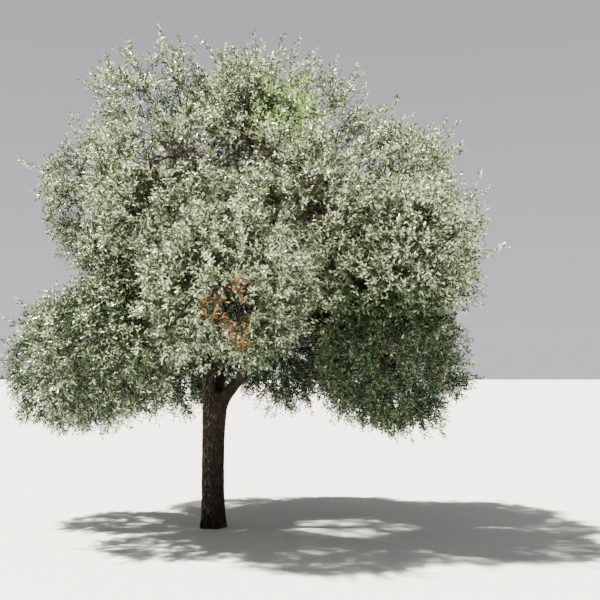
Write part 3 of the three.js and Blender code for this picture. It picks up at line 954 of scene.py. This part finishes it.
def ways_round(count, turn):
    """Directions spread evenly over a ball: levels evenly spaced in height, each turned on by the golden
    angle."""
    k = np.arange(count)
    z = 1 - (2 * k + 1) / count
    around = k * GOLDEN_ANGLE + turn
    wide = np.sqrt(1 - z * z)
    return np.stack([wide * np.cos(around), wide * np.sin(around), z], 1)


def quadratic(start, knee, end, count):
    """Points (n, count, 3) of curves weighted by (1-t)^2, 2t(1-t) and t^2."""
    t = np.linspace(0, 1, count)[None, :, None]
    return (1 - t) ** 2 * start[:, None] + 2 * t * (1 - t) * knee[:, None] + t * t * end[:, None]


def wandering(points, size, seed):
    """Moves paths by smooth noise, up to size times their length: not at the root, and in full from a
    third of the way on."""
    length = np.linalg.norm(points[:, -1] - points[:, 0], axis=1)[:, None, None]
    t = np.linspace(0, 1, points.shape[1])[None, :, None]
    shift = np.stack([noise(points / WANDER_STEP + AXIS_ON_NOISE * k, seed + k) for k in range(3)], 2)
    return points + shift * length * size * np.minimum(1, 3 * t)


def at_share(paths, chosen, share):
    """Points at shares of the chosen paths' length, between two samples, and the first one's number."""
    at = share * (paths.shape[1] - 1)
    low = np.minimum(at.astype(int), paths.shape[1] - 2)
    return mix(paths[chosen, low], paths[chosen, low + 1], (at - low)[:, None]), low


print("four ways round a ball:", ways_round(4, 0).round(2).tolist())

# %% [markdown]
# In each lobe a stem goes on from the bough. Rays from one point would fill the lobe, but they look like a
# burst star wherever the crown opens. So the stem comes first, and a few leaders fan out of it, each from
# the height on the stem that suits its way: those that go forward leave nearer its tip.

# %% Grow the stems and the leaders
LEADERS = 9
SHORTEST_BRANCH = 0.22
# how far a stem goes past its lobe's centre, in the lobe's radii, and its number of points
STEM_PAST = 0.1
STEM_POINTS = 4
# where on its stem a leader starts: a level one, what going forward adds, and the least and the most
LEVEL_START = 0.5
FORWARD_START = 0.45
START_LIMITS = (0.05, 1)
LEADER_POINTS = 7
LEADER_KNEE = 0.4
LEADER_REACH = 0.62
LEADER_RISE = 0.14
# how far a path wanders, as a share of its length, and the seed of its noise
WANDER = {"leader": (0.1, 27), "branch": (0.07, 31), "twig": (0.06, 41)}
chance = np.random.default_rng(20)


def spread_ways(counts):
    """The open directions of every lobe: the way, the lobe's number and how far its space goes there."""
    turns = chance.random(len(counts)) * 2 * math.pi
    way = np.concatenate([ways_round(count, turn) for count, turn in zip(counts, turns)])
    lobe = np.repeat(np.arange(len(counts)), counts)
    reach = reach_in(way, lobe)
    kept = reach > SHORTEST_BRANCH * radii[lobe]
    return way[kept], lobe[kept], reach[kept]


foot = np.array([boughs[lobe["name"]]["corners"][3] for lobe in lobes])
head = centres + aims * STEM_PAST * radii[:, None]
stems = foot[:, None] + (head - foot)[:, None] * np.linspace(0, 1, STEM_POINTS)[None, :, None]

leader_way, leader_lobe, leader_reach = spread_ways(np.full(len(lobes), LEADERS))
forward = (leader_way * aims[leader_lobe]).sum(1)
start, _ = at_share(stems, leader_lobe, np.clip(LEVEL_START + FORWARD_START * forward, *START_LIMITS))
end = centres[leader_lobe] + leader_way * (LEADER_REACH * leader_reach)[:, None]
knee = mix(start, end, LEADER_KNEE) + aims[leader_lobe] * LEADER_RISE * radii[leader_lobe][:, None]
leaders = wandering(quadratic(start, knee, end, LEADER_POINTS), *WANDER["leader"])
print("stems:", len(stems), "leaders:", len(leaders))

# %% [markdown]
# Each branch now leaves the leader that goes most nearly its way, and reaches almost to its lobe's edge.
# It could leave the nearest wood instead, but then branches would cross. It is the rule of the solids,
# carried on for more orders. The lobes that were made fuller get more branches, or they would look thin.

# %% Grow the branches
BRANCHES = 70
FULLER = {"skirt_back": 1.6, "skirt_back_left": 1.3, "skirt_left": 1.15, "skirt_back_right": 1.15}
BRANCH_POINTS = 5
BRANCH_FROM = (0.3, 0.98)
BRANCH_REACH = (0.76, 0.94)
BRANCH_KNEE = 0.45
BRANCH_RISE = 0.1
# what a leader of another lobe loses in the match, so that none is ever chosen
OTHER_LOBE = 9

fuller = np.array([FULLER.get(lobe["name"], 1) for lobe in lobes])
branch_counts = np.rint(BRANCHES * fuller * (radii / radii.mean()) ** 2).astype(int)
branch_way, branch_lobe, branch_reach = spread_ways(branch_counts)
match = branch_way @ leader_way.T - OTHER_LOBE * (branch_lobe[:, None] != leader_lobe)
start, _ = at_share(leaders, match.argmax(1), chance.uniform(*BRANCH_FROM, len(branch_way)))
length = branch_reach * chance.uniform(*BRANCH_REACH, len(start))
end = centres[branch_lobe] + branch_way * length[:, None]
knee = mix(start, end, BRANCH_KNEE) + aims[branch_lobe] * BRANCH_RISE * radii[branch_lobe][:, None]
branches = wandering(quadratic(start, knee, end, BRANCH_POINTS), *WANDER["branch"])
print("branches:", len(branches))

# %% [markdown]
# ## Twigs and shoots
# New growth turns up where the light comes from above and hangs near the hem, and none of it goes through
# a limb. A physics solver could find such paths, but slowly. Two small functions are enough: how much
# growth turns up at a height, and whether a tip keeps off the limbs.

# %% Lift growth and keep it off the limbs
LIMB_CLEAR = 0.012
NEAR_LIMB = 0.3
LEVEL_AT = 2.6
LIFT = (-0.6, 0.4)
LIFT_OVER = (2.4, 5)


def clears_limbs(points, lobe):
    """Whether points keep off the limbs. Each lobe's points are set against the limb samples near it."""
    clear = np.ones(len(points), bool)
    for k in range(len(lobes)):
        mine = np.flatnonzero(lobe == k)
        near = np.linalg.norm(limb_points - centres[k], axis=1) < radii[k] + NEAR_LIMB
        if not len(mine) or not near.any():
            continue
        square = squares(points[mine], limb_points[near])
        clear[mine] = (square > (limb_radii[near] + LIMB_CLEAR) ** 2).all(1)
    return clear


def lift_at(points):
    """How much growth turns up: 0.4 at the top of the crown, none at 2.6 m and -0.6 near its hem."""
    above = points[:, 2] - LEVEL_AT
    return np.clip(above / np.where(above > 0, LIFT_OVER[1], LIFT_OVER[0]), *LIFT)


print("lift at the hem and at the top:", lift_at(np.array([(0, 0, 1.0), (0, 0, 5.0)])).round(2).tolist())

# %% [markdown]
# Twigs leave each branch in turn and shoots leave each twig. Particles could scatter them, but each has
# to stay in its lobe's space and off the limbs. So each order is worked out as arrays for the whole crown
# at once, and what would leave its lobe's space is shortened, and left out where that doesn't help.

# %% Grow twigs and shoots off what came before
TWIGS_EACH = 7
SHOOTS_EACH = 8
# where in its own stretch of the parent a side path starts
ROOT_VARIES = (0.2, 1.0)
# its length at the parent's root, against the given one, and what it loses to the parent's tip
ROOT_LENGTH = 1.15
TIP_LOSES = 0.5
KEEP_ALONG = 0.6
STRAY = 0.15
SECOND_TRY = 0.6


def grow(parents, lobe, each, first, length, spread, outward, points, spare):
    """Side growth off parent paths: from shares of their length, turned on round them by the golden
    angle, towards along + spread * side + outward * (away from the lobe's centre) + lift * up. Some may
    pass their lobe's edge a little, between the two values of spare, which frays it. Growth that would
    leave its space is tried at 0.6 of its length and then left out. Returns the paths, their lobe and the
    number of the parent each one grew on."""
    count = len(parents)
    parent = np.repeat(np.arange(count), each)
    step = np.tile(np.arange(each), count)
    share = first + (1 - first) * (step + chance.uniform(*ROOT_VARIES, len(step))) / each
    beside, across, along = side_frames(parents)
    root, low = at_share(parents, parent, share)
    turn = step * GOLDEN_ANGLE + (chance.random(count) * 2 * math.pi)[parent]
    side = beside[parent, low] * np.cos(turn)[:, None] + across[parent, low] * np.sin(turn)[:, None]
    owner = lobe[parent]
    away = unit(root - centres[owner])
    rise = lift_at(root)[:, None] * (0, 0, 1)
    stray = chance.normal(0, STRAY, (len(root), 3))
    ahead = unit(along[parent, low] + spread * side + outward * away + rise + stray)
    size = mix(*length, chance.random(len(root))) * (ROOT_LENGTH - TIP_LOSES * share)
    grown = np.zeros(len(root), bool)
    spare = mix(*spare, chance.random(len(root)))
    for shorter in (1.0, SECOND_TRY):
        size = np.where(grown, size, size * shorter)
        tip = root + ahead * size[:, None]
        grown |= in_space(tip, owner, spare)
    knee = root + (0.5 * size)[:, None] * unit(ahead + KEEP_ALONG * along[parent, low])
    paths = quadratic(root, knee, root + ahead * size[:, None], points)
    kept = grown & clears_limbs(paths[:, -1], owner)
    return paths[kept], owner[kept], parent[kept]


twigs, twig_lobe, _ = grow(
    branches, branch_lobe, each=TWIGS_EACH, first=0.3, length=(0.22, 0.46), spread=1.1, outward=0.3,
    points=3, spare=(-0.22, 0.04),
)
twigs = wandering(twigs, *WANDER["twig"])
shoots, shoot_lobe, shoot_parent = grow(
    twigs, twig_lobe, each=SHOOTS_EACH, first=0.12, length=(0.1, 0.2), spread=1.0, outward=0.3,
    points=3, spare=(-0.12, 0.07),
)
print("twigs:", len(twigs), "shoots:", len(shoots))

# %% [markdown]
# Long sprigs stand out of the crown's outline, most at the top, where growth is strongest. Longer twigs
# everywhere would blur the lobes, so only some ways out of each lobe get one, and only where no neighbour
# is in the way. Their length goes by the square of a chance number, so most are short and few reach as
# far as the solids' sprigs.

# %% Grow the sprigs
# how far past its lobe's radius a sprig may reach, in millimetres
SPRIG_REACH = 190
SPRIGS_FOR_EACH = 14
SPRIG_STRAY = (2.6, 2.6, 1.6)
SPRIG_RISE = (0, 0, 0.5)
OPEN_TO = 0.93
SPRIG_ROOT = 0.26
SPRIG_SHORTEST = 0.05
SPRIG_LONGER = 1.1
SPRIG_TURN = 0.07
SPRIG_BEND = 0.02
SPRIG_POINTS = 4
SPRIG_SHOOTS = 5
SHOOTS_PAST = 1.4

sprig_lobe = np.repeat(np.arange(len(lobes)), [(lobe["sprigs"] + 1) * SPRIGS_FOR_EACH for lobe in lobes])
stray = chance.uniform(-0.5, 0.5, (len(sprig_lobe), 3)) * SPRIG_STRAY + SPRIG_RISE
way = unit(aims[sprig_lobe] + stray)
open_way = reach_in(way, sprig_lobe) > OPEN_TO * edge_of(centres[sprig_lobe] + way, sprig_lobe)
sprig_lobe, way = sprig_lobe[open_way], way[open_way]
further = SPRIG_SHORTEST + SPRIG_LONGER * chance.random(len(way)) ** 2
size = radii[sprig_lobe] + SPRIG_REACH * MM * further
root = centres[sprig_lobe] + way * (radii[sprig_lobe] - SPRIG_ROOT)[:, None]
tip = centres[sprig_lobe] + unit(way + chance.normal(0, SPRIG_TURN, way.shape)) * size[:, None]
bend = mix(root, tip, 0.5) + chance.normal(0, SPRIG_BEND, root.shape)
sprigs = quadratic(root, bend, tip, SPRIG_POINTS)
kept = in_space(tip, sprig_lobe, SPRIG_REACH * MM)
sprigs, sprig_lobe = sprigs[kept], sprig_lobe[kept]
sprig_shoots, _, _ = grow(
    sprigs, sprig_lobe, each=SPRIG_SHOOTS, first=0.15, length=(0.05, 0.1), spread=0.7, outward=0.5,
    points=3, spare=(SPRIG_REACH * MM, SHOOTS_PAST * SPRIG_REACH * MM),
)
print("sprigs:", len(sprigs), "with", len(sprig_shoots), "shoots")

# %% [markdown]
# A tree drops the leaves that it shades, so shoots deep inside the crown are bare and are left out, with
# the twigs that would carry none. What stays inside shows as dark bare wood through the gaps. To keep
# every shoot would be simpler, but the crown would be a solid mass, and this one is open in places. So
# the upper lobes drop some, and patches thin them by chance: a band below the top, a gap on the right
# and one over the fork. The last patch is the other way round: there the top keeps all of them.

# %% Drop the shaded shoots and what carries none
# how far below the crown's outside, in metres, the first shoots are bare, and from where on all are
BARE_UNDER = {
    "top": (0.22, 0.44), "upper": (0.13, 0.36), "shoulder": (0.2, 0.44), "waist": (0.24, 0.54),
    "skirt": (0.4, 0.85),
}
# the share of the shoots that drop: here in the upper lobes, and below in each patch
THINNED_HIGH = 0.32
OPENINGS = [
    {"centre": (-0.1, -1.75, 3.62), "radii": (0.85, 0.65, 0.2), "thinned": 0.85},
    {"centre": (-0.1, -0.95, 3.74), "radii": (0.9, 0.7, 0.22), "thinned": 0.85},
    {"centre": (1.36, -0.6, 3.82), "radii": (0.33, 1.2, 0.46), "thinned": 0.85},
    {"centre": (0.14, -1.0, 1.42), "radii": (0.36, 1.5, 0.36), "thinned": 0.8},
    {"centre": (0.32, -1.1, 4.2), "radii": (0.5, 0.9, 0.4), "thinned": 0.0},
]


def under(points):
    """How far points lie below the outside of the crown: the most that any lobe's edge covers them by."""
    covered = np.full(len(points), -0.5)
    for k in range(len(lobes)):
        away = np.linalg.norm(points - centres[k], axis=1)
        near = np.flatnonzero(away < radii[k] * lobe_shares[k])
        depth = edge_of(points[near], np.full(len(near), k)) - away[near]
        covered[near] = np.maximum(covered[near], depth)
    return covered


def in_radii(points, patch):
    """How far points lie from a patch's centre, in its radii: 1 on its ellipsoid."""
    return np.linalg.norm((points - patch["centre"]) / np.array(patch["radii"]), axis=1)


bare_under = np.array([BARE_UNDER[lobe["tier"]] for lobe in lobes])[shoot_lobe]
limit = mix(bare_under[:, 0], bare_under[:, 1], chance.random(len(shoots)))
in_upper = np.array([lobe["tier"] == "upper" for lobe in lobes])[shoot_lobe]
thinned = np.where(in_upper, THINNED_HIGH, 0)
for opening in OPENINGS:
    thinned = np.where(in_radii(shoots[:, -1], opening) < 1, opening["thinned"], thinned)
lit = (under(shoots[:, -1]) < limit) & (chance.random(len(shoots)) > thinned)
shoots = shoots[lit]
twigs = twigs[np.isin(np.arange(len(twigs)), shoot_parent[lit])]
print("lit shoots:", len(shoots), "on", len(twigs), "twigs")

# %% [markdown]
# The finer a twig is, the less its roundness shows. So a stem has seven sides, a leader five, a branch
# four and a twig three, and a shoot is a spike of four triangles. Objects of their own would be far too
# many, so all the wood of the crown is joined into two meshes: one down to the twigs, and one of shoots.

# %% Join the wood into two pieces
# the radii at the root and at the tip in metres, and the number of sides
WOOD = {
    "leader": (0.012, 0.006, 5), "branch": (0.0065, 0.0035, 4), "twig": (0.0038, 0.0018, 3),
    "sprig": (0.003, 0.0014, 3),
}
SHOOT_RADIUS = 0.0018
STEM_NARROWS = 0.75
STEM_SIDES = 7


def spikes(paths, radius):
    """Three-sided spikes, (n, 4) corners each: three round the root and one at the tip."""
    beside, across, _ = side_frames(paths)
    angle = np.arange(3) * 2 * math.pi / 3
    foot = paths[:, :1] + radius * (
        beside[:, :1] * np.cos(angle)[:, None] + across[:, :1] * np.sin(angle)[:, None]
    )
    corners = np.concatenate([foot, paths[:, -1:]], 1)
    one = np.array([(0, 2, 1), (0, 1, 3), (1, 2, 3), (2, 0, 3)])
    return corners.reshape(-1, 3), (one[None] + 4 * np.arange(len(paths))[:, None, None]).reshape(-1, 3)


def tapered(paths, root, tip, sides):
    """Tubes whose radius goes evenly from root to tip."""
    count, levels, _ = paths.shape
    radius = np.tile(np.linspace(root, tip, levels), (count, 1))
    return rings(paths, radius, sides).reshape(-1, 3), tube_faces(count, levels, sides)


branch_wood = joined("branches", [
    tapered(stems, TWIG_END * MM, STEM_NARROWS * TWIG_END * MM, STEM_SIDES),
    tapered(leaders, *WOOD["leader"]),
    tapered(branches, *WOOD["branch"]),
    tapered(twigs, *WOOD["twig"]),
])
shoot_wood = joined("shoots", [
    spikes(np.concatenate([shoots, sprig_shoots]), SHOOT_RADIUS),
    tapered(sprigs, *WOOD["sprig"]),
])
print("branches:", len(branch_wood.data.polygons), "shoots:", len(shoot_wood.data.polygons), "triangles")

# %% [markdown]
# Young jodina wood is smooth and grey-brown, a little lighter than the trunk. The bark's material would
# give it fissures wider than the twigs are. So it has one of its own, without relief or chips: only a
# soft change of tone from twig to twig, and a little more gleam.

# %% Make the twigs' material
TWIG_PATTERN = 140

twig_bark = new_material("young_bark")
spot = node(twig_bark, "ShaderNodeTexCoord").outputs["Object"]
tone = node(
    twig_bark, "ShaderNodeTexNoise", None, {"Vector": spot, "Scale": apart(TWIG_PATTERN), "Detail": 3}
)
twig_colour = node(
    twig_bark, "ShaderNodeValToRGB", None, {"Fac": tone.outputs["Fac"]},
    [(0.3, "#26211b"), (0.5, "#362e26"), (0.7, "#4a3f33")],
)
show(twig_bark, node(
    twig_bark, "ShaderNodeBsdfPrincipled", None,
    {"Base Color": twig_colour.outputs["Color"], "Roughness": 0.8, "Specular IOR Level": 0.3},
))
for piece in (branch_wood, shoot_wood):
    piece.data.materials.append(twig_bark)
print("young bark nodes:", len(twig_bark.node_tree.nodes))

# %% [markdown]
# ## Leaves
# A jodina leaf is a stiff rhombus with a spine at each of its three free corners, and it is folded along
# its middle. A picture of a leaf on a card would be quick, but it breaks the outline up close. Two
# triangles make the real outline, one for each half, and the fold lets the halves catch the light
# apart. Leaves that grow in shade are larger than those in the sun, as on the real tree.

# %% Put leaves on the shoots
LEAF_LENGTH = (0.034, 0.049)
LEAF_WIDTH = 0.37
LEAF_FOLD = 0.2
LEAF_SINK = 0.002
LEAF_ROOT_VARIES = (0.1, 0.9)
SHADE_LEAF = 1.5
SHADE_DEPTH = (0.15, 0.42)
LEAN = (0.55, 1.35)
TIP_LEAN = 0.25
FACE_UP = (0, 0, 0.35)
FACE_STRAY = 0.7
WIDTH_VARIES = (0.85, 1.15)
LEAVES_EACH = {"shoot": 9, "sprig_shoot": 6, "sprig": 18}


def put_leaves(paths, each):
    """Leaves along paths, (n * each, 4) corners: root, left, tip and right. They leave the shoot in turn
    by the golden angle, lean 32 to 77 degrees from it, and turn their upper side to its tip and up. The
    last one goes on from the shoot."""
    count = len(paths)
    owner = np.repeat(np.arange(count), each)
    step = np.tile(np.arange(each), count)
    beside, across, along = side_frames(paths)
    root, low = at_share(paths, owner, (step + chance.uniform(*LEAF_ROOT_VARIES, len(step))) / each)
    turn = step * GOLDEN_ANGLE + (chance.random(count) * 2 * math.pi)[owner]
    side = beside[owner, low] * np.cos(turn)[:, None] + across[owner, low] * np.sin(turn)[:, None]
    lean = np.where(step == each - 1, TIP_LEAN, chance.uniform(*LEAN, len(step)))[:, None]
    ahead = unit(along[owner, low] * np.cos(lean) + side * np.sin(lean))
    face = along[owner, low] + FACE_UP + chance.normal(0, FACE_STRAY, (len(step), 3))
    wide = unit(np.cross(ahead, face))
    up = np.cross(wide, ahead)
    shaded = mix(1, SHADE_LEAF, smooth_step(*SHADE_DEPTH, under(root)))
    length = (mix(*LEAF_LENGTH, chance.random(len(step))) * shaded)[:, None]
    half = length * LEAF_WIDTH / 2 * chance.uniform(*WIDTH_VARIES, len(step))[:, None]
    base = root - ahead * LEAF_SINK
    middle = base + ahead * 0.5 * length + up * half * 2 * LEAF_FOLD
    return np.stack([base, middle + wide * half, base + ahead * length, middle - wide * half], 1), owner


shoot_leaves, leaf_shoot = put_leaves(shoots, LEAVES_EACH["shoot"])
sprig_shoot_leaves, leaf_sprig_shoot = put_leaves(sprig_shoots, LEAVES_EACH["sprig_shoot"])
sprig_leaves, leaf_sprig = put_leaves(sprigs, LEAVES_EACH["sprig"])
print("leaves:", len(shoot_leaves) + len(sprig_shoot_leaves) + len(sprig_leaves))

# %% [markdown]
# Leaves in the sun are thick and pale, sage or silver, and the shade leaves deeper in the crown are
# greener and darker. The tones also paint shade: they darken with depth, and low on the sides that the
# crown overhangs, where its own shadow falls. A young patch near the top is yellow-green, and a few dead
# sprays in front are rust-brown. One tone for all would be simpler, but the crown would read as one
# sheet of green. So each patch is an ellipsoid with a place and radii of its own.

# %% Place the patches of shade, of young leaves and of dead ones
# painted shade: where the crown overhangs its lower sides and its own shadow falls, with what each patch
# adds to the depth there, full up to the first share of the radii and gone at the second
PATCH_EDGE = (0.5, 1.1)
PAINTED_SHADE_PATCHES = [
    {"centre": (1.75, -1.3, 1.2), "radii": (1.6, 2.2, 1.35), "by": 0.38},
    {"centre": (0.87, -0.6, 1.56), "radii": (0.85, 1.9, 0.68), "by": 0.34},
    {"centre": (-1.5, -0.6, 1.6), "radii": (1.7, 1.9, 1.1), "by": 0.1},
]
YOUNG_PATCH = {"centre": (0.8, -0.8, 4.12), "radii": (0.46, 0.9, 0.38)}
RUST_PATCHES = [
    {"centre": (0.2, -2.05, 2.13), "radii": (0.13, 0.6, 0.13)},
    {"centre": (0.4, -2.05, 2.24), "radii": (0.09, 0.6, 0.17)},
    {"centre": (0.34, -2.05, 2.02), "radii": (0.16, 0.6, 0.1)},
    {"centre": (0.42, -2.05, 1.86), "radii": (0.09, 0.6, 0.11)},
]


def painted_shade_depth(points):
    """Painted shade: how much darker points are where the crown overhangs them and its shadow falls: the
    most of the patches, which fade towards their edges."""
    by_patch = [
        patch["by"] * (1 - smooth_step(*PATCH_EDGE, in_radii(points, patch))) for patch in PAINTED_SHADE_PATCHES
    ]
    return np.max(by_patch, 0)


print("shade that the crown adds low on the right:", painted_shade_depth(np.array([(1.75, -1.3, 1.2)])).tolist())

# %% [markdown]
# Leaves also differ by spray and one by one: a shoot's leaves have the same age and grew in the same
# light, but each one catches it at its own angle. Chance alone could deal the tones, but the crown would
# look like sand. So depth and side set the shares of the tones, and that paints light and shade: paler
# tones on the outside and the lit side, darker ones deep inside and on the side away from the light. A
# quarter of the chance that then picks one is the spray's, and the rest is the leaf's own.

# %% Deal the tones out by spray
OWN_LUCK = 0.75
# painted light and shade: leaves turned towards this side of the crown get paler tones and those turned away
# darker ones, by this weight, about this even point
PAINTED_LIGHT_SIDE = (0.2, -0.5, 0.3)
PAINTED_SIDE_SHADE = 0.2
EVEN_SIDE = 0.3
TONES = ["silver", "sage", "olive", "deep", "young", "rust"]
YOUNG, RUST = TONES.index("young"), TONES.index("rust")
YOUNG_LUCK = 0.24
RUST_LUCK = 0.5
# painted shade: the depths at which the tones turn darker, from the outside in
TONE_DEPTHS = (0.1, 0.18, 0.28, 0.4)
# from the outside in: the luck below which a leaf is no longer silver, no longer sage, and deep green
TONE_SHARES = [
    (0.6, 0.46, 0.32), (0.7, 0.54, 0.38), (0.84, 0.66, 0.46), (1.0, 0.88, 0.66), (1.0, 0.98, 0.84),
]


def tones_of(points, spray_luck):
    """A tone for each leaf: by its patch if it is in one, and else by how deep it lies, by how far round
    it is from the crown's painted lit side, by the painted shade of what overhangs it, and by chance."""
    luck = mix(spray_luck, chance.random(len(points)), OWN_LUCK)
    toward_painted_light = unit(points - centres.mean(0)) @ unit(PAINTED_LIGHT_SIDE)
    shade = under(points) + PAINTED_SIDE_SHADE * (EVEN_SIDE - toward_painted_light) + painted_shade_depth(points)
    level = np.searchsorted(TONE_DEPTHS, shade)
    tone = (luck[:, None] < np.array(TONE_SHARES)[level]).sum(1)
    tone = np.where((in_radii(points, YOUNG_PATCH) < 1) & (luck > YOUNG_LUCK), YOUNG, tone)
    for patch in RUST_PATCHES:
        tone = np.where((in_radii(points, patch) < 1) & (luck > RUST_LUCK), RUST, tone)
    return tone


leaf_corners = np.concatenate([shoot_leaves, sprig_shoot_leaves, sprig_leaves])
first_sprig = len(shoots) + len(sprig_shoots)
spray = np.concatenate([leaf_shoot, leaf_sprig_shoot + len(shoots), leaf_sprig + first_sprig])
spray_luck = chance.random(first_sprig + len(sprigs))[spray]
leaf_tone = tones_of(leaf_corners[:, 2], spray_luck)
print("leaves by tone:", {name: int((leaf_tone == k).sum()) for k, name in enumerate(TONES)})

# %% [markdown]
# Leaves of one tone have one finish, so they make one mesh, and a tone with many leaves is dealt out in
# turn into several, because a very large mesh is slow to handle. Instances of one leaf would be lighter,
# but here each leaf has its own size and fold, and joined meshes can be kept as they show.

# %% Make the leaf pieces
LEAF_TRIANGLES = np.array([(0, 2, 1), (0, 3, 2)])
MOST_LEAVES = 98000


def leaf_piece(name, corners):
    """One piece of many leaves, two triangles each."""
    numbers = 4 * np.arange(len(corners))[:, None, None]
    return mesh_object(name, corners.reshape(-1, 3), (LEAF_TRIANGLES[None] + numbers).reshape(-1, 3))


leaf_pieces = {}
for k, name in enumerate(TONES):
    mine = leaf_corners[leaf_tone == k]
    count = math.ceil(len(mine) / MOST_LEAVES)
    for part in range(count):
        label = f"leaves_{name}" if count == 1 else f"leaves_{name}_{part + 1}"
        leaf_pieces[label] = (name, leaf_piece(label, mine[part::count]))
print({label: len(piece.data.polygons) for label, (_, piece) in leaf_pieces.items()})

# %% [markdown]
# A jodina leaf is leathery, and its waxy skin gives a gleam that reads as silver in the sun. Its colour is
# a greyed green. A picture of the leaves could colour them, but it would fix one light on them. So each
# tone has a darker and a lighter hex value, and a noise a little finer than a leaf is long moves between
# the two, so that neighbours differ.

# %% Make the leaves' materials
# silver's near-white end is partly a painted highlight that stands for the leaves' gleam in the sun, and the
# dark tones are partly painted shade
LEAF_COLOURS = {
    "silver": ("#a2ae8b", "#f1f6d8"),
    "sage": ("#64735a", "#b2c09b"),
    "olive": ("#444f39", "#7f8b6b"),
    "deep": ("#1f321a", "#3b542f"),
    "young": ("#82a65f", "#b9d092"),
    "rust": ("#75492a", "#bd925f"),
}
LEAF_PATTERN = 28

for name in TONES:
    leaf = new_material(f"leathery_leaf_{name}")
    spot = node(leaf, "ShaderNodeTexCoord").outputs["Object"]
    change = node(
        leaf, "ShaderNodeTexNoise", None, {"Vector": spot, "Scale": apart(LEAF_PATTERN), "Detail": 2}
    )
    dark, light = LEAF_COLOURS[name]
    green = node(
        leaf, "ShaderNodeValToRGB", None, {"Fac": change.outputs["Fac"]}, [(0.42, dark), (0.58, light)]
    )
    show(leaf, node(
        leaf, "ShaderNodeBsdfPrincipled", None,
        {"Base Color": green.outputs["Color"], "Roughness": 0.24, "Specular IOR Level": 0.65},
    ))
    for tone, piece in leaf_pieces.values():
        if tone == name:
            piece.data.materials.append(leaf)
print("leaf materials:", len(TONES))

# %% [markdown]
# ## Floor and light
# A plain pale floor takes the tree's shadow. A curved studio backdrop is the usual choice, but this tree
# is looked at from all sides, so the floor is one flat sheet, wide enough to end far behind it.

# %% Lay the floor
FLOOR_SIZE = 200

floor = mesh_object(
    "floor",
    np.array([(-1, -1, 0), (1, -1, 0), (1, 1, 0), (-1, 1, 0)]) * FLOOR_SIZE,
    np.array([(0, 1, 2), (0, 2, 3)]),
)
paper = new_material("pale_floor")
show(paper, node(
    paper, "ShaderNodeBsdfPrincipled", None,
    {"Base Color": linear("#cfcecb"), "Roughness": 0.9, "Specular IOR Level": 0.2},
))
floor.data.materials.append(paper)
print("floor in metres:", 2 * FLOOR_SIZE)

# %% [markdown]
# The key light is a sun lamp high on the left, a little broader than the real sun. It models the lobes
# from the left and leaves the lower right in shade. An area lamp would do for a small object, but over
# five metres its light would fade. A pale surround, brighter near the horizon than overhead, fills the
# rest, as the walls of a white studio do.

# %% Set the light
TO_KEY = (-0.4, 0.0, 1.0)
SUN_STRENGTH = 26
SUN_WIDTH = 2

key = bpy.data.objects.new("key", bpy.data.lights.new("key", "SUN"))
key.data.energy = SUN_STRENGTH
key.data.angle = math.radians(SUN_WIDTH)
key.data.color = linear("#fdf8ea")[:3]
key.rotation_euler = Vector(TO_KEY).to_track_quat("Z", "Y").to_euler()
bpy.context.scene.collection.objects.link(key)

world = bpy.data.worlds.new("studio")
world.use_nodes = True
surround = world.node_tree.nodes["Background"]
surround.inputs["Color"].default_value = linear("#eef1f4")
way_out = node(world, "ShaderNodeTexCoord").outputs["Generated"]
height_out = node(world, "ShaderNodeSeparateXYZ", None, {"Vector": way_out}).outputs["Z"]
bright = node(
    world, "ShaderNodeMapRange", None,
    {"Value": height_out, "From Min": 0.05, "From Max": 0.7, "To Min": 0.85, "To Max": 0.36},
)
world.node_tree.links.new(bright.outputs["Result"], surround.inputs["Strength"])
bpy.context.scene.world = world
print("sun strength:", key.data.energy)

# %% [markdown]
# ## Tying the pieces to the body
# One joined tree would be simpler, but then wood and leaves could not be given finishes of their own. So
# each piece rides on the one body, and the solids that it stands for are hidden.

# %% Tie the pieces to the solids
foliage_nodes = [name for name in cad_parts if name.startswith("foliage_")]
for piece in (bark_trunk, bark_boughs):
    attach(piece, "root")
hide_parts("trunk", *[f"bough_{b['name']}" for b in boughs.values() if b["share"] is None])
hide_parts(*[f"bough_{b['name']}" for b in on_boughs])
for piece in (branch_wood, shoot_wood):
    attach(piece, "root")
    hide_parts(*foliage_nodes)
for _, piece in leaf_pieces.values():
    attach(piece, "root")
    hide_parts(*foliage_nodes)
